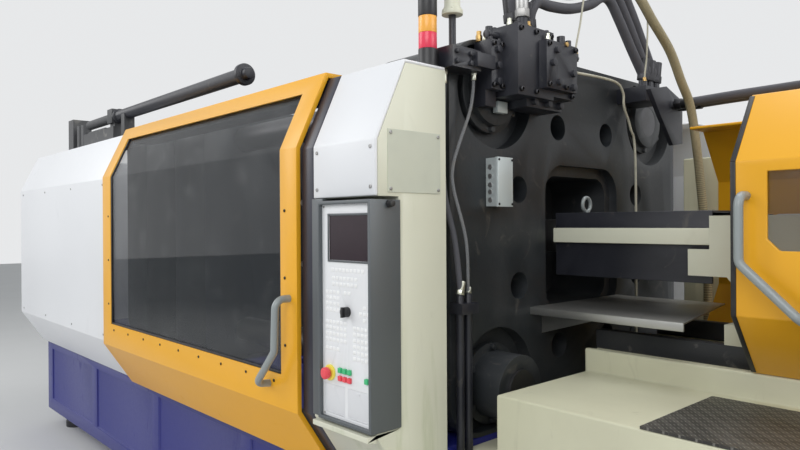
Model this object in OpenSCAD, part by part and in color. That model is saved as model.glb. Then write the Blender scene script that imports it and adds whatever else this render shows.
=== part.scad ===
// Horizontal injection moulding machine. Millimetres, +Z up.
// The origin lies on the floor, under the machine axis, at the mould side of the fixed platen.
// The clamp side is at -X, the injection side at +X, and the operator stands at -Y.

/* [Machine axis] */
// Height of the barrel axis above the floor
axis_h = 1540; // [1500:10:1600]

/* [Clamp] */
// Half distance between tie bars across the machine
tie_y = 610; // [590:5:620]
// Half distance between tie bars in height
tie_z = 575; // [560:5:585]
// Radius of a tie bar
tie_r = 75; // [60:1:85]
// Thickness of the fixed platen
platen_t = 450; // [420:5:480]
// Half width of every platen
platen_hw = 880; // [870:5:900]
// Half height of every platen
platen_hh = 760; // [745:5:775]
// Corner radius of a platen outline
platen_corner = 170; // [100:10:200]
// Distance between the fixed platen and the moving platen at rest
daylight = 1500; // [1350:10:1600]
// Thickness of the moving platen
moving_t = 400; // [340:10:420]
// Thickness of the rear platen
rear_t = 350; // [300:10:380]
// Free length behind the moving platen
rear_gap = 450; // [400:10:500]
// Radius of the clamp ram
ram_r = 200; // [150:5:230]
// Length of the clamp ram
ram_len = 1600; // [1500:10:1650]
// Outer radius of the clamp cylinder
clamp_cyl_r = 300; // [280:5:330]
// Length of the clamp cylinder behind the rear platen
clamp_cyl_len = 1000; // [950:10:1050]
// Radius of a tie bar nut
nut_r = 130; // [115:1:140]
// Length of a lower tie bar nut and of the rear nuts
nut_len = 170; // [120:5:180]
// Width of a nut's flange around its body
nut_flange = 30; // [26:1:34]
// Gap between a nut's flange and the recess around it
nut_clear = 2; // [1:0.5:4]
// Length of an upper front tie bar nut, sunk in its recess
nut_short = 55; // [40:1:58]
// Radius of the round recess around a tie bar on the fixed platen
corner_recess_r = 225; // [185:5:235]
// Depth of that recess
corner_recess_d = 60; // [60:5:90]
// Rim left between that recess and the platen outline
recess_rim = 18; // [10:1:30]
// Running clearance round a tie bar
bar_clear = 0.5; // [0.3:0.1:1]

/* [Fixed platen holes] */
// Circle on which the eight cored holes lie
core_ring_r = 510; // [500:5:520]
// Radius of a cored hole
core_r = 55; // [45:1:60]
// Depth of a cored hole
core_d = 300; // [200:10:330]
// Half width of the nozzle pocket
pocket_hw = 245; // [230:5:255]
// Height of the nozzle pocket roof above the axis
pocket_up = 265; // [250:5:275]
// Depth of the nozzle pocket floor below the axis
pocket_down = 300; // [290:5:310]
// Corner radius of the nozzle pocket
pocket_corner = 80; // [60:5:100]
// Wall left between nozzle pocket and mould face
pocket_web = 110; // [100:5:140]
// Width of the shallow rim round the nozzle pocket
pocket_rim = 45; // [30:5:60]
// Radius of the locating bore
locating_r = 100; // [80:1:110]
// Depth of the locating bore
locating_d = 30; // [20:1:40]
// Radius of the nozzle hole
nozzle_hole_r = 62; // [58:1:70]
// Pitch of the outer mould bolt square
bolt_pitch_outer = 700; // [680:10:720]
// Pitch of the inner mould bolt square
bolt_pitch_inner = 420; // [400:10:440]
// Radius of a mould bolt hole
bolt_r = 12; // [10:0.5:14]
// Depth of a mould bolt hole
bolt_d = 55; // [40:1:60]
// Radius of a bolt hole for a picking robot
robot_bolt_r = 10; // [8:0.5:12]
// Pitch of the robot bolt holes along the machine
robot_pitch_x = 220; // [180:5:240]
// Pitch of the robot bolt holes across the machine
robot_pitch_y = 280; // [240:5:300]
// Place of the robot bolt pattern across the machine
robot_y = 100; // [80:5:120]

/* [Ejector] */
// Radius of an ejector rod
eject_rod_r = 20; // [15:1:24]
// Half pitch of the ejector rods
eject_pitch = 280; // [260:5:300]
// Thickness of the ejector plate
eject_t = 40; // [30:1:50]
// Gap between ejector plate and moving platen
eject_gap = 140; // [130:5:150]

/* [Bases] */
// Left end of the clamp base
base_left = -3850; // [-3900:10:-3820]
// Set-back of the clamp base behind the front of the covers
base_set_back = 185; // [165:5:225]
// Height of the underside of the bases
base_low = 120; // [100:5:150]
// Half width of the injection base
inj_base_hw = 900; // [880:10:920]
// Right end of the injection base
inj_base_right = 3600; // [3500:10:3700]
// Height of the injection base deck
deck_h = 1017; // [1000:1:1030]
// Distance from the fixed platen to the high part of the injection base
deck_gap = 230; // [220:5:260]
// Half width of the rail wall
rail_wall_hw = 284; // [270:2:300]
// Height of the rail wall above the deck
rail_wall_h = 80; // [70:1:90]
// Height of a slide rail
rail_h = 75; // [60:1:85]
// Width of a slide rail
rail_w = 45; // [36:1:56]
// Half width of the drop chute
chute_hw = 430; // [400:10:450]
// Length of the drop chute
chute_len = 1200; // [1100:10:1250]
// Distance from a levelling foot to the side of its base
foot_inset = 150; // [130:5:180]
// Thickness of the pattern plate on the deck
step_t = 8; // [5:1:10]
// Distance from the axis to the inner edge of the rear pattern plate
step_y = 420; // [400:10:450]
// Gap between a hose's end and its seat
hose_seat = 0.6; // [0.3:0.1:1]
// Radius of a levelling foot
foot_r = 85; // [70:1:95]
// Thickness of a levelling foot
foot_t = 45; // [35:1:55]

/* [Covers] */
// Distance from the machine axis to the front of the white covers
cover_y = 1285; // [1275:1:1290]
// Thickness of sheet covers
sheet_t = 12; // [8:1:14]
// Height of the upper fold of covers and gate
fold_hi = 1874; // [1860:1:1885]
// Height of the lower fold of covers and gate
fold_lo = 916; // [905:1:925]
// Height of the cover top
cover_top = 2148; // [2140:1:2160]
// Inset of the cover top behind the front
top_inset = 128; // [120:1:136]
// Inset of the cover underside behind the front
low_inset = 160; // [150:1:170]
// Height of the cover underside
cover_low = 672; // [665:1:680]
// Width of the flat flange on top of a cover
top_flange = 150; // [120:5:160]

/* [Gate] */
// Gap between the gate and the cover behind it
gate_gap = 4; // [3:0.5:8]
// Thickness of the gate frame
gate_t = 18; // [14:1:24]
// Left end of the gate
gate_left = -1930; // [-1960:5:-1900]
// Right end of the gate
gate_right = 90; // [70:5:100]
// Width of the left stile of the gate
gate_stile_left = 122; // [105:1:130]
// Width of the right stile of the gate
gate_stile_right = 108; // [95:1:115]
// Height of the window sill
gate_sill = 1036; // [1020:1:1050]
// Height of the upper edge of the window
gate_head = 2100; // [2090:1:2110]
// Thickness of a window pane
pane_t = 6; // [4:1:8]
// Radius of a handle tube
handle_r = 17; // [13:0.5:20]
// Reach of a handle in front of its panel
handle_out = 75; // [65:1:90]

/* [Control panel] */
// Left side of the control panel
panel_left = 231; // [225:1:240]
// Width of the control panel
panel_w = 285; // [275:1:295]
// Underside of the control panel
panel_low = 930; // [915:1:945]
// Height of the control panel
panel_h = 748; // [735:1:760]
// Front of the control panel
panel_y = 1316; // [1308:1:1324]
// Depth of the control panel
panel_d = 132; // [120:1:140]
// Width of the rim round the panel face
panel_rim = 12; // [8:1:16]
// Depth of the panel face behind the rim
face_depth = 14; // [10:1:18]
// Thickness of the panel face
fascia_t = 6; // [4:1:8]
// Travel of a push key
key_travel = 3; // [2:0.5:4]
// Side of a push key
key_w = 15; // [12:0.5:16]
// Pitch of the push keys
key_pitch = 20; // [19:0.5:22]
// Radius of the emergency stop mushroom
stop_r = 20; // [16:1:22]
// Travel of the emergency stop
stop_travel = 6; // [4:1:7]

/* [Side housing] */
// Right face of the side housing and the platen cover
housing_right = 508; // [500:1:514]
// Rear side of the side housing
housing_back = 959; // [950:1:970]
// Left side of the platen cover
platen_cover_left = 166; // [160:1:175]
// Underside of the platen cover
platen_cover_low = 1690; // [1685:1:1700]

/* [Injection unit] */
// Radius of the barrel
barrel_r = 75; // [70:1:80]
// Radius of the screw
screw_r = 45; // [40:1:50]
// Half width of the barrel guard
guard_hw = 223; // [215:1:230]
// Length of the barrel guard
guard_len = 660; // [640:5:680]
// Roof of the barrel guard above the axis
guard_up = 101; // [96:1:108]
// Open lower edge of the barrel guard below the axis
guard_down = 164; // [158:1:170]
// Width of the injection carriage
carriage_hw = 250; // [240:2:260]
// Stroke of the injection carriage
carriage_stroke = 350; // [300:10:380]
// Thickness of the drip tray
tray_t = 6; // [4:1:10]
// Clear height between the rails and the drip tray
tray_clear = 73; // [63:1:83]
// Length of the drip tray along its front
tray_len = 645; // [560:5:680]
// Distance from the axis to the front of the drip tray
tray_front = 400; // [360:5:420]
// Distance from the axis to the back of the drip tray
tray_back = 280; // [200:5:320]
// Height of the front lip of the drip tray
tray_lip = 24; // [14:1:34]

/* [Purge guard] */
// Left edge of the sliding purge guard
purge_left = 1303; // [1295:1:1320]
// Length of the purge guard
purge_len = 900; // [850:10:950]
// Distance from the axis to the purge guard front
purge_y = 518; // [510:1:525]
// Upper fold of the purge guard
purge_fold_hi = 1785; // [1775:1:1795]
// Lower fold of the purge guard
purge_fold_lo = 1309; // [1300:1:1320]
// Top of the purge guard
purge_top = 2010; // [2000:1:2020]
// Height of the purge guard's underside above the deck
purge_lift = 90; // [80:5:100]
// Inset of purge guard top and underside
purge_inset = 163; // [155:1:170]

/* [Rear side] */
// Left edge of the fixed guard behind the barrel
rear_purge_left = 840; // [820:10:900]
// Left side of the cabinet on the deck
cabinet_left = 585; // [570:5:600]
// Length of the cabinet
cabinet_len = 520; // [450:10:560]
// Front of the cabinet
cabinet_y = 705; // [700:5:740]
// Top of the cabinet
cabinet_top = 1920; // [1880:10:1960]

/* [Hidden] */
$fn = 48;
fit = 0.5;
weld = 1;
clamp_base_hw = cover_y - base_set_back;
purge_low = deck_h + purge_lift;
front_y = -cover_y;
gate_y = -(cover_y + gate_gap + gate_t);
moving_x = -daylight - moving_t;
rear_x = moving_x - rear_gap - rear_t;
platen_low = axis_h - platen_hh;
platen_top = axis_h + platen_hh;
pocket_x = pocket_web;
deck_x = platen_t + deck_gap;
rail_z = deck_h + rail_wall_h;
rail_top = rail_z + rail_h;
tray_h = rail_top + tray_clear;
rail_y = rail_wall_hw - rail_w / 2 - 10;
carriage_x = platen_t + guard_len + 10;
post_left = gate_right + 3;
bar_end = 10;

// Lays a profile drawn in Y and Z along X
module along_x(x0, len) {
  translate([x0, 0, 0]) rotate([90, 0, 90]) linear_extrude(len) children();
}

// A round bar or hole along X
module bar_x(x0, len, r) {
  translate([x0, 0, 0]) rotate([0, 90, 0]) cylinder(h = len, r = r);
}

// A round bar along Y
module bar_y(y0, len, r) {
  translate([0, y0, 0]) rotate([-90, 0, 0]) cylinder(h = len, r = r);
}

// Unit normal to the left of the line from a to b
function side(a, b) = let (d = b - a) [-d[1], d[0]] / norm(d);

// A bent line moved sideways by t, with mitred corners
function shifted(p, t) = [for (i = [0 : len(p) - 1])
  let (n1 = side(p[max(i - 1, 0)], p[max(i, 1)]),
       n2 = side(p[min(i, len(p) - 2)], p[min(i + 1, len(p) - 1)]))
  p[i] + (n1 + n2) * t / (1 + n1 * n2)];

function reversed(p) = [for (i = [len(p) - 1 : -1 : 0]) p[i]];

// Folded sheet with its outer side on the bent line
module sheet(p, t) {
  polygon(concat(p, reversed(shifted(p, -t))));
}

// Rounded rectangle centred on the origin
module plate2d(w, h, r) {
  square([w, h - 2 * r], center = true);
  square([w - 2 * r, h], center = true);
  for (x = [-1, 1], y = [-1, 1])
    translate([x * (w / 2 - r), y * (h / 2 - r)]) circle(r = r);
}

// Calls its children at the four tie bar places
module at_tie_bars() {
  for (y = [-1, 1], z = [-1, 1]) translate([0, y * tie_y, axis_h + z * tie_z]) children();
}

// Calls its children at the corners of a square on the machine axis
module at_square(pitch) {
  for (y = [-1, 1], z = [-1, 1])
    translate([0, y * pitch / 2, axis_h + z * pitch / 2]) children();
}

// Front outline of covers and gate, from the underside to the top flange
function shell_line(y, flange) = [
  [-y + low_inset, cover_low], [-y, fold_lo], [-y, fold_hi],
  [-y + top_inset, cover_top], [-y + top_inset + flange, cover_top]];

// Welded base under the clamp, with the chute where parts drop out
module clamp_base() {
  color([0.13, 0.13, 0.42]) difference() {
    translate([base_left, -clamp_base_hw, base_low])
      cube([platen_t - base_left, 2 * clamp_base_hw, platen_low - base_low]);
    translate([-100 - chute_len, -chute_hw, base_low - 1])
      cube([chute_len, 2 * chute_hw, platen_low - base_low + 2]);
    for (s = [-1, 1], i = [0 : 3])
      translate([base_left + 120 + i * 1040, s * clamp_base_hw, base_low + 90])
        translate([0, -10, 0]) cube([940, 20, platen_low - base_low - 260]);
  }
}

// Base under the injection unit: foot by the platen, deck, rail wall, guide and cabinet
module injection_base() {
  color([0.83, 0.83, 0.72]) union() {
    translate([platen_t + 2, -inj_base_hw, base_low])
      cube([inj_base_right - platen_t - 2, 2 * inj_base_hw, platen_low - base_low - 20]);
    translate([deck_x, -inj_base_hw, platen_low - 20])
      cube([inj_base_right - deck_x, 2 * inj_base_hw, deck_h - platen_low + 20]);
    translate([deck_x, -rail_wall_hw, deck_h])
      cube([inj_base_right - deck_x, 2 * rail_wall_hw, rail_wall_h]);
    translate([deck_x, -purge_y + purge_inset - 4, deck_h])
      cube([purge_left + purge_len - deck_x, 30, purge_low - deck_h - 0.3]);
    translate([cabinet_left, cabinet_y, deck_h - 200])
      cube([cabinet_len, inj_base_hw - 20 - cabinet_y, cabinet_top - deck_h + 200]);
  }
}

// Levelling foot under a base
module foot(x, y) {
  translate([x, y, 0]) {
    cylinder(h = foot_t, r = foot_r);
    translate([0, 0, foot_t]) cylinder(h = base_low - foot_t, r = foot_r / 3);
  }
}

// Feet along both sides, and one under the middle of the fixed platen
module levelling_feet() {
  clamp_y = clamp_base_hw - foot_inset;
  inj_y = inj_base_hw - foot_inset;
  color([0.25, 0.25, 0.27]) {
    foot(0, 0);
    for (s = [-1, 1]) {
      for (x = [base_left + 250, -1650, platen_t - 250]) foot(x, s * clamp_y);
      for (x = [platen_t + 700, inj_base_right - 250]) foot(x, s * inj_y);
    }
  }
}

// Outline shared by the three platens
module platen_outline() {
  translate([0, axis_h]) plate2d(2 * platen_hw, 2 * platen_hh, platen_corner);
}

// Calls its children in 2D at the four tie bars
module at_bar_centres() {
  for (y = [-tie_y, tie_y], z = [-tie_z, tie_z]) translate([y, axis_h + z]) children();
}

module fixed_platen() {
  pocket_mid = axis_h + (pocket_up - pocket_down) / 2;
  pocket_h = pocket_up + pocket_down;
  color([0.13, 0.14, 0.15]) difference() {
    along_x(0, platen_t) platen_outline();
    at_tie_bars() bar_x(-1, platen_t + 2, tie_r + bar_clear);
    along_x(platen_t - corner_recess_d, corner_recess_d + 1) {
      intersection() {
        translate([0, axis_h]) plate2d(2 * (platen_hw - recess_rim),
                                       2 * (platen_hh - recess_rim), platen_corner - recess_rim);
        at_bar_centres() circle(r = corner_recess_r);
      }
      at_bar_centres() circle(r = nut_r + nut_flange + nut_clear);
    }
    for (i = [0 : 7]) let (a = 22.5 + i * 45)
      translate([0, core_ring_r * cos(a), axis_h + core_ring_r * sin(a)])
        bar_x(platen_t - core_d, core_d + 1, core_r);
    along_x(pocket_x, platen_t) translate([0, pocket_mid])
      plate2d(2 * pocket_hw, pocket_h, pocket_corner);
    along_x(platen_t - 40, 41) translate([0, pocket_mid])
      plate2d(2 * (pocket_hw + pocket_rim), pocket_h + 2 * pocket_rim,
              pocket_corner + pocket_rim);
    translate([0, 0, axis_h]) bar_x(-1, locating_d + 1, locating_r);
    translate([0, 0, axis_h]) bar_x(0, pocket_x + 1, nozzle_hole_r);
    at_square(bolt_pitch_outer) bar_x(-1, bolt_d + 1, bolt_r);
    at_square(bolt_pitch_inner) bar_x(-1, bolt_d + 1, bolt_r);
    for (x = [-1, 1], y = [-1, 1])
      translate([platen_t / 2 + x * robot_pitch_x / 2, robot_y + y * robot_pitch_y / 2,
                 platen_top - 60]) cylinder(h = 61, r = robot_bolt_r);
  }
}

module tie_bars() {
  seat = platen_t - corner_recess_d;
  left = rear_x - nut_len - bar_end;
  color([0.75, 0.76, 0.78]) for (y = [-1, 1], z = [-1, 1])
    translate([0, y * tie_y, axis_h + z * tie_z])
      bar_x(left, seat - left + (z > 0 ? nut_short : nut_len + bar_end), tie_r);
}

// Split nut with a bolted flange, seated at x
module bar_nut(x, way, len) {
  flange_t = 28;
  translate([x, 0, 0]) mirror([way < 0 ? 1 : 0, 0, 0]) difference() {
    union() {
      bar_x(0, len, nut_r);
      bar_x(0, flange_t, nut_r + nut_flange);
      for (a = [30 : 60 : 330]) rotate([a, 0, 0])
        translate([0, nut_r + nut_flange / 2, 0]) bar_x(flange_t, 16, nut_flange / 2 - 3);
    }
    bar_x(-1, len + 2, tie_r);
  }
}

module tie_bar_nuts() {
  color([0.16, 0.17, 0.18]) for (y = [-1, 1], z = [-1, 1])
    translate([0, y * tie_y, axis_h + z * tie_z]) {
      bar_nut(platen_t - corner_recess_d, 1, z > 0 ? nut_short : nut_len);
      bar_nut(rear_x, -1, nut_len);
    }
}

module rear_platen() {
  color([0.13, 0.14, 0.15]) difference() {
    along_x(rear_x, rear_t) platen_outline();
    at_tie_bars() bar_x(rear_x - 1, rear_t + 2, tie_r);
    translate([0, 0, axis_h]) bar_x(rear_x - 1, rear_t + 2, ram_r + fit);
  }
}

module clamp_cylinder() {
  cap_t = 120;
  color([0.2, 0.21, 0.22]) translate([rear_x - clamp_cyl_len, 0, axis_h]) difference() {
    union() {
      bar_x(0, clamp_cyl_len, clamp_cyl_r);
      bar_x(clamp_cyl_len - 60, 60, clamp_cyl_r + 60);
      bar_x(0, 70, clamp_cyl_r + 40);
    }
    bar_x(cap_t, clamp_cyl_len, ram_r + fit);
  }
}

// Line of a white cover with its flange turned in to the base
function cover_line(flange) = concat([[-clamp_base_hw, cover_low]],
  shell_line(cover_y, flange));

// Cover sheet on the operator side
module cover_sheet(x0, x1, flange) {
  along_x(x0, x1 - x0) sheet(cover_line(flange), sheet_t);
}

module clamp_covers() {
  left = base_left - 20;
  end_line = [for (i = [0 : 4]) cover_line(0)[i]];
  flange = cover_y - top_inset - platen_hw - 17;
  color([0.86, 0.87, 0.88]) {
    for (s = [0, 1]) mirror([0, s, 0]) cover_sheet(left, gate_left + 20, flange);
    along_x(left - sheet_t, sheet_t)
      polygon(concat([for (p = end_line) p],
                     [for (i = [len(end_line) - 1 : -1 : 0]) [-end_line[i][0], end_line[i][1]]]));
  }
}

// Header beam with the running strip, and the skirt below the gate opening
module gate_rails() {
  header_h = 60;
  strip_w = 70;
  y_in = front_y + top_inset + 25;
  skirt = [for (i = [0 : 2]) cover_line(0)[i]];
  color([0.3, 0.31, 0.33]) {
    translate([gate_left + 20, y_in, cover_top - header_h])
      cube([post_left - gate_left - 20, 120, header_h]);
    translate([base_left + 30, y_in, cover_top])
      cube([gate_left - base_left - 10, strip_w, gate_gap - 0.3]);
    translate([gate_left + 20, y_in, cover_top])
      cube([platen_cover_left - gate_left - 20, strip_w, gate_gap - 0.3]);
    along_x(gate_left + 20, post_left - gate_left - 20) sheet(skirt, sheet_t);
  }
}

// Fixed guards behind the mould space and behind the barrel
module rear_guards() {
  purge_line = concat([[-purge_y + purge_inset, deck_h]], purge_shell());
  color([0.95, 0.62, 0.05]) mirror([0, 1, 0]) {
    cover_sheet(gate_left + 20, post_left, top_flange);
    along_x(rear_purge_left, purge_left + purge_len - rear_purge_left)
      sheet(purge_line, sheet_t);
  }
}

// Dark edge strip between the gate and the platen cover
module gate_post() {
  color([0.12, 0.12, 0.16]) along_x(post_left, platen_cover_left - post_left)
    sheet(concat([[-clamp_base_hw, cover_low]], shell_line(cover_y, top_flange)), 30);
}

// White cover over the fixed platen, and its plain twin at the back
module platen_cover() {
  y_top = front_y + top_inset;
  color([0.93, 0.93, 0.93]) {
    along_x(platen_cover_left, housing_right - platen_cover_left)
      sheet([[front_y, platen_cover_low], [front_y, fold_hi], [y_top, cover_top],
             [-housing_back, cover_top]], sheet_t);
    mirror([0, 1, 0]) cover_sheet(post_left, housing_right, top_flange);
  }
}

// Closed cream housing beside the fixed platen, with the pocket for the panel
module side_housing() {
  y_top = front_y + top_inset;
  inner = shifted([[front_y, platen_cover_low], [front_y, fold_hi], [y_top, cover_top],
                   [-housing_back, cover_top]], -sheet_t);
  round_r = 30;
  lip = 40;
  color([0.83, 0.84, 0.74]) difference() {
    union() {
      along_x(platen_cover_left, housing_right - platen_cover_left) polygon(concat(
        [[-clamp_base_hw, cover_low], [front_y + low_inset, cover_low], [front_y, fold_lo],
         [front_y, platen_cover_low - 1], [front_y + sheet_t, platen_cover_low - 1]],
        [inner[1], inner[2], [-housing_back, cover_top - sheet_t],
         [-housing_back, platen_low], [-clamp_base_hw, platen_low]]));
      along_x(panel_left - 20, housing_right - panel_left + 20) polygon([
        [front_y, fold_lo - 20], [front_y - lip, fold_lo - 12], [front_y - lip, fold_lo + 6],
        [front_y, fold_lo + 6]]);
    }
    translate([platen_cover_left - 1, -panel_y - 1, panel_low - 4])
      cube([housing_right - platen_cover_left + 2, panel_d + 1, platen_cover_low - panel_low + 3]);
  }
}

module panel_housing() {
  wing_y = front_y - 8;
  color([0.11, 0.12, 0.13]) difference() {
    union() {
      translate([panel_left, -panel_y, panel_low]) cube([panel_w, panel_d, panel_h]);
      translate([platen_cover_left + 1, wing_y, panel_low - 4])
        cube([panel_left - platen_cover_left - 1, -wing_y - panel_y + panel_d,
              platen_cover_low - panel_low + 2]);
    }
    translate([panel_left + panel_rim, -panel_y - 1, panel_low + panel_rim])
      cube([panel_w - 2 * panel_rim, face_depth + 41, panel_h - 2 * panel_rim]);
  }
}

face_left = panel_left + panel_rim;
face_w = panel_w - 2 * panel_rim;
face_low = panel_low + panel_rim;
face_h = panel_h - 2 * panel_rim;
face_y = -panel_y + face_depth;
screen_w = 208;
screen_h = 150;
screen_left = face_left + 40;
screen_low = panel_low + 548;
door_w = 112;
door_h = 100;
door_low = face_low + 12;
door_left_x = face_left + 10;
door_right_x = face_left + 138;
stop_x = face_left + 44;
stop_z = panel_low + 163;
green_x = face_left + 100;
green_z = panel_low + 178;
red_z = green_z - 27;
green_pitch = 25;
single_x = face_left + 240;
single_z = panel_low + 163;
dial_x = face_left + 140;
dial_z = panel_low + 378;

// Blocks of membrane keys: x, z of the first key, columns, rows
key_blocks = [
  [52, 508, 9, 1], [56, 480, 7, 2], [20, 432, 4, 4], [120, 432, 2, 1],
  [200, 370, 3, 1], [220, 390, 1, 1], [220, 350, 1, 1],
  [18, 330, 6, 4], [18, 240, 4, 1], [168, 320, 4, 6]];

// Calls its children at each membrane key
module at_membrane_keys() {
  for (b = key_blocks, i = [0 : b[2] - 1], j = [0 : b[3] - 1])
    translate([face_left + b[0] + i * key_pitch, face_y, panel_low + b[1] - j * key_pitch])
      children();
}

module panel_fascia() {
  color([0.78, 0.79, 0.8]) difference() {
    translate([face_left, face_y, face_low]) cube([face_w, fascia_t, face_h]);
    translate([screen_left, face_y - 1, screen_low]) cube([screen_w, fascia_t + 2, screen_h]);
    for (x = [door_left_x, door_right_x])
      translate([x, face_y - 1, door_low]) cube([door_w, fascia_t + 2, door_h]);
    for (i = [0 : 2], z = [green_z, red_z])
      translate([green_x + i * green_pitch, 0, z]) translate([-9, face_y - 1, -9])
        cube([18, fascia_t + 2, 18]);
    translate([single_x - 9, face_y - 1, single_z - 9]) cube([18, fascia_t + 2, 18]);
    translate([stop_x, 0, stop_z]) bar_y(face_y - 1, fascia_t + 2, 9);
    translate([dial_x, 0, dial_z]) bar_y(face_y - 1, fascia_t + 2, 7);
  }
}

module panel_screen() {
  color([0.12, 0.06, 0.09])
    translate([screen_left, face_y + 1, screen_low]) cube([screen_w, fascia_t - 1, screen_h]);
}

module panel_keys() {
  color([0.93, 0.93, 0.93]) at_membrane_keys()
    translate([0, -1.2, 0]) cube([key_w, 1.2, key_w - 2]);
}

module stop_collar() {
  color([0.93, 0.8, 0.1]) translate([stop_x, 0, stop_z]) difference() {
    bar_y(face_y - 8, 8, 27);
    bar_y(face_y - 9, 10, 9);
  }
}

module stop_button() {
  head_y = face_y - 8 - stop_travel - 1;
  color([0.85, 0.08, 0.1]) translate([stop_x, 0, stop_z]) {
    bar_y(head_y - 14, 14, stop_r);
    bar_y(head_y - 17, 4, stop_r - 5);
    bar_y(head_y, 30, 8);
  }
}

module selector_knob() {
  color([0.1, 0.1, 0.11]) translate([dial_x, 0, dial_z]) {
    bar_y(face_y - 20, 19.7, 17);
    bar_y(face_y - 1, 14, 6);
    translate([-4, face_y - 28, -17]) cube([8, 10, 34]);
  }
}

// Push key in its window of the fascia
module push_key(x, z, tint) {
  half = 8.5;
  color(tint) translate([x - half, face_y - key_travel - 5, z - half])
    cube([2 * half, key_travel + 5 + fascia_t, 2 * half]);
}

green = [0.05, 0.5, 0.2];
red = [0.8, 0.1, 0.12];
module key_green_1() { push_key(green_x, green_z, green); }
module key_green_2() { push_key(green_x + green_pitch, green_z, green); }
module key_green_3() { push_key(green_x + 2 * green_pitch, green_z, green); }
module key_red_1() { push_key(green_x, red_z, red); }
module key_red_2() { push_key(green_x + green_pitch, red_z, red); }
module key_red_3() { push_key(green_x + 2 * green_pitch, red_z, red); }
module key_single() { push_key(single_x, single_z, green); }

// Drop door in the fascia, hinged along its lower edge
module drive_door(x) {
  gap = 0.6;
  hinge_r = 3;
  color([0.72, 0.73, 0.75]) {
    translate([x + gap, face_y, door_low + 2 * hinge_r + 1])
      cube([door_w - 2 * gap, fascia_t - 2, door_h - 2 * hinge_r - 1 - gap]);
    translate([x + gap, face_y + hinge_r, door_low + hinge_r + gap])
      rotate([0, 90, 0]) cylinder(h = door_w - 2 * gap, r = hinge_r);
    translate([x + gap, face_y + hinge_r - 1.5, door_low + hinge_r + gap])
      cube([door_w - 2 * gap, 3, hinge_r + 2]);
    translate([x + door_w / 2 - 8, face_y - 2, door_low + door_h - 14]) cube([16, 3, 8]);
  }
}

module drive_door_left() { drive_door(door_left_x); }
module drive_door_right() { drive_door(door_right_x); }

lamp_x = 450;
lamp_y = -988;
lamp_r = 34;

// Foot and cap of the signal lamp
module lamp_base() {
  color([0.1, 0.1, 0.11]) translate([lamp_x, lamp_y, 0]) {
    translate([0, 0, cover_top]) cylinder(h = 12, r = lamp_r + 3);
    translate([0, 0, cover_top + 12]) cylinder(h = 57, r = lamp_r);
    translate([0, 0, 2333]) cylinder(h = 100, r = lamp_r);
    translate([0, 0, 2433]) cylinder(h = 8, r = lamp_r - 6);
  }
}

module lamp_red() {
  color([0.8, 0.05, 0.1]) translate([lamp_x, lamp_y, cover_top + 69])
    cylinder(h = 2274 - cover_top - 69, r = lamp_r - 1);
}

module lamp_amber() {
  color([0.95, 0.45, 0.08]) translate([lamp_x, lamp_y, 2274]) cylinder(h = 59, r = lamp_r - 1);
}

rod_x = 492;
rod_y = -905;
rod_block_low = 2152;
rod_block_h = 75;
air_low = 2346;

// Arm bolted to the platen edge, with the guide rod standing on it
module rod_block() {
  color([0.1, 0.1, 0.11]) {
    translate([platen_t, -950, rod_block_low]) cube([85, 152, rod_block_h]);
    translate([platen_cover_left, -938, cover_top])
      cube([platen_t - platen_cover_left, 44, rod_block_low + 62 - cover_top]);
    translate([platen_t + 85, -840, rod_block_low + 12]) cube([20, 100, rod_block_h - 24]);
    for (y = [-930, -860], z = [20, 55])
      translate([0, y, rod_block_low + z]) bar_x(platen_t + 85, 12, 9);
  }
  color([0.8, 0.8, 0.82]) translate([rod_x, rod_y, rod_block_low + rod_block_h])
    cylinder(h = air_low - rod_block_low - rod_block_h + 150, r = 13);
}

// Air cylinder that rides up and down on the guide rod
module air_cylinder() {
  color([0.83, 0.82, 0.72]) translate([rod_x, rod_y, air_low]) difference() {
    union() {
      cylinder(h = 14, r = 38);
      translate([0, 0, 14]) cylinder(h = 10, r = 33);
      translate([0, 0, 24]) cylinder(h = 330, r = 29);
      translate([0, 0, 354]) cylinder(h = 22, r = 36);
      for (a = [45 : 90 : 315]) rotate(a) translate([32, 0, 14]) cylinder(h = 6, r = 5);
    }
    translate([0, 0, -1]) cylinder(h = 345, r = 13.05);
  }
}

// Valve block on the platen, with the ports of the arching hoses in a row on top
valve_top = 2345;
port_h = 35;
arch_x = 500;
arch_gap = 60;
braid_port = [570, -600];
bracket_x = 600;
bracket_t = 22;
bracket_top = 2240;
bundle_y = 520;
bundle_gap = 65;
bundle_z = 2170;

module valve_block() {
  front = platen_t;
  color([0.09, 0.09, 0.1]) {
    translate([front, -740, 2100]) cube([85, 75, 185]);
    translate([front, -740, 2040]) cube([55, 60, 60]);
    translate([front, -665, 2080]) cube([150, 225, valve_top - 2080]);
    translate([front, -440, 2095]) cube([150, 140, 195]);
    translate([front + 150, -535, 2115]) cube([35, 205, 185]);
    translate([front, -560, 2050]) cube([110, 230, 45]);
    for (p = [[-497, 2215], [-458, 2145], [-362, 2190], [-362, 2135], [-470, 2268]])
      translate([0, p[0], p[1]]) bar_x(front + 185, 14, 14);
    for (y = [-520, -430, -350]) translate([0, y, 2072]) bar_x(front + 110, 18, 14);
    for (z = [2130, 2190, 2250]) translate([0, -705, z]) bar_x(front + 85, 14, 13);
    translate([arch_x, 0, 2312]) bar_y(-728, 64, 16);
    translate([arch_x, -712, 2285]) cylinder(h = 55, r = 14);
    for (i = [0 : 2]) translate([arch_x, arch_line[0][0] - arch_gap * i, valve_top])
      cylinder(h = port_h, r = 20);
    translate([braid_port[0], braid_port[1], valve_top]) cylinder(h = port_h, r = 20);
    translate([590, 0, 2275]) bar_y(-301, 43, 9);
    translate([590, -268, 2262]) cylinder(h = 30, r = 10);
    translate([620, -420, 2300]) cylinder(h = 30, r = 16);
    translate([620, -370, 2300]) cylinder(h = 22, r = 12);
  }
}

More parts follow.
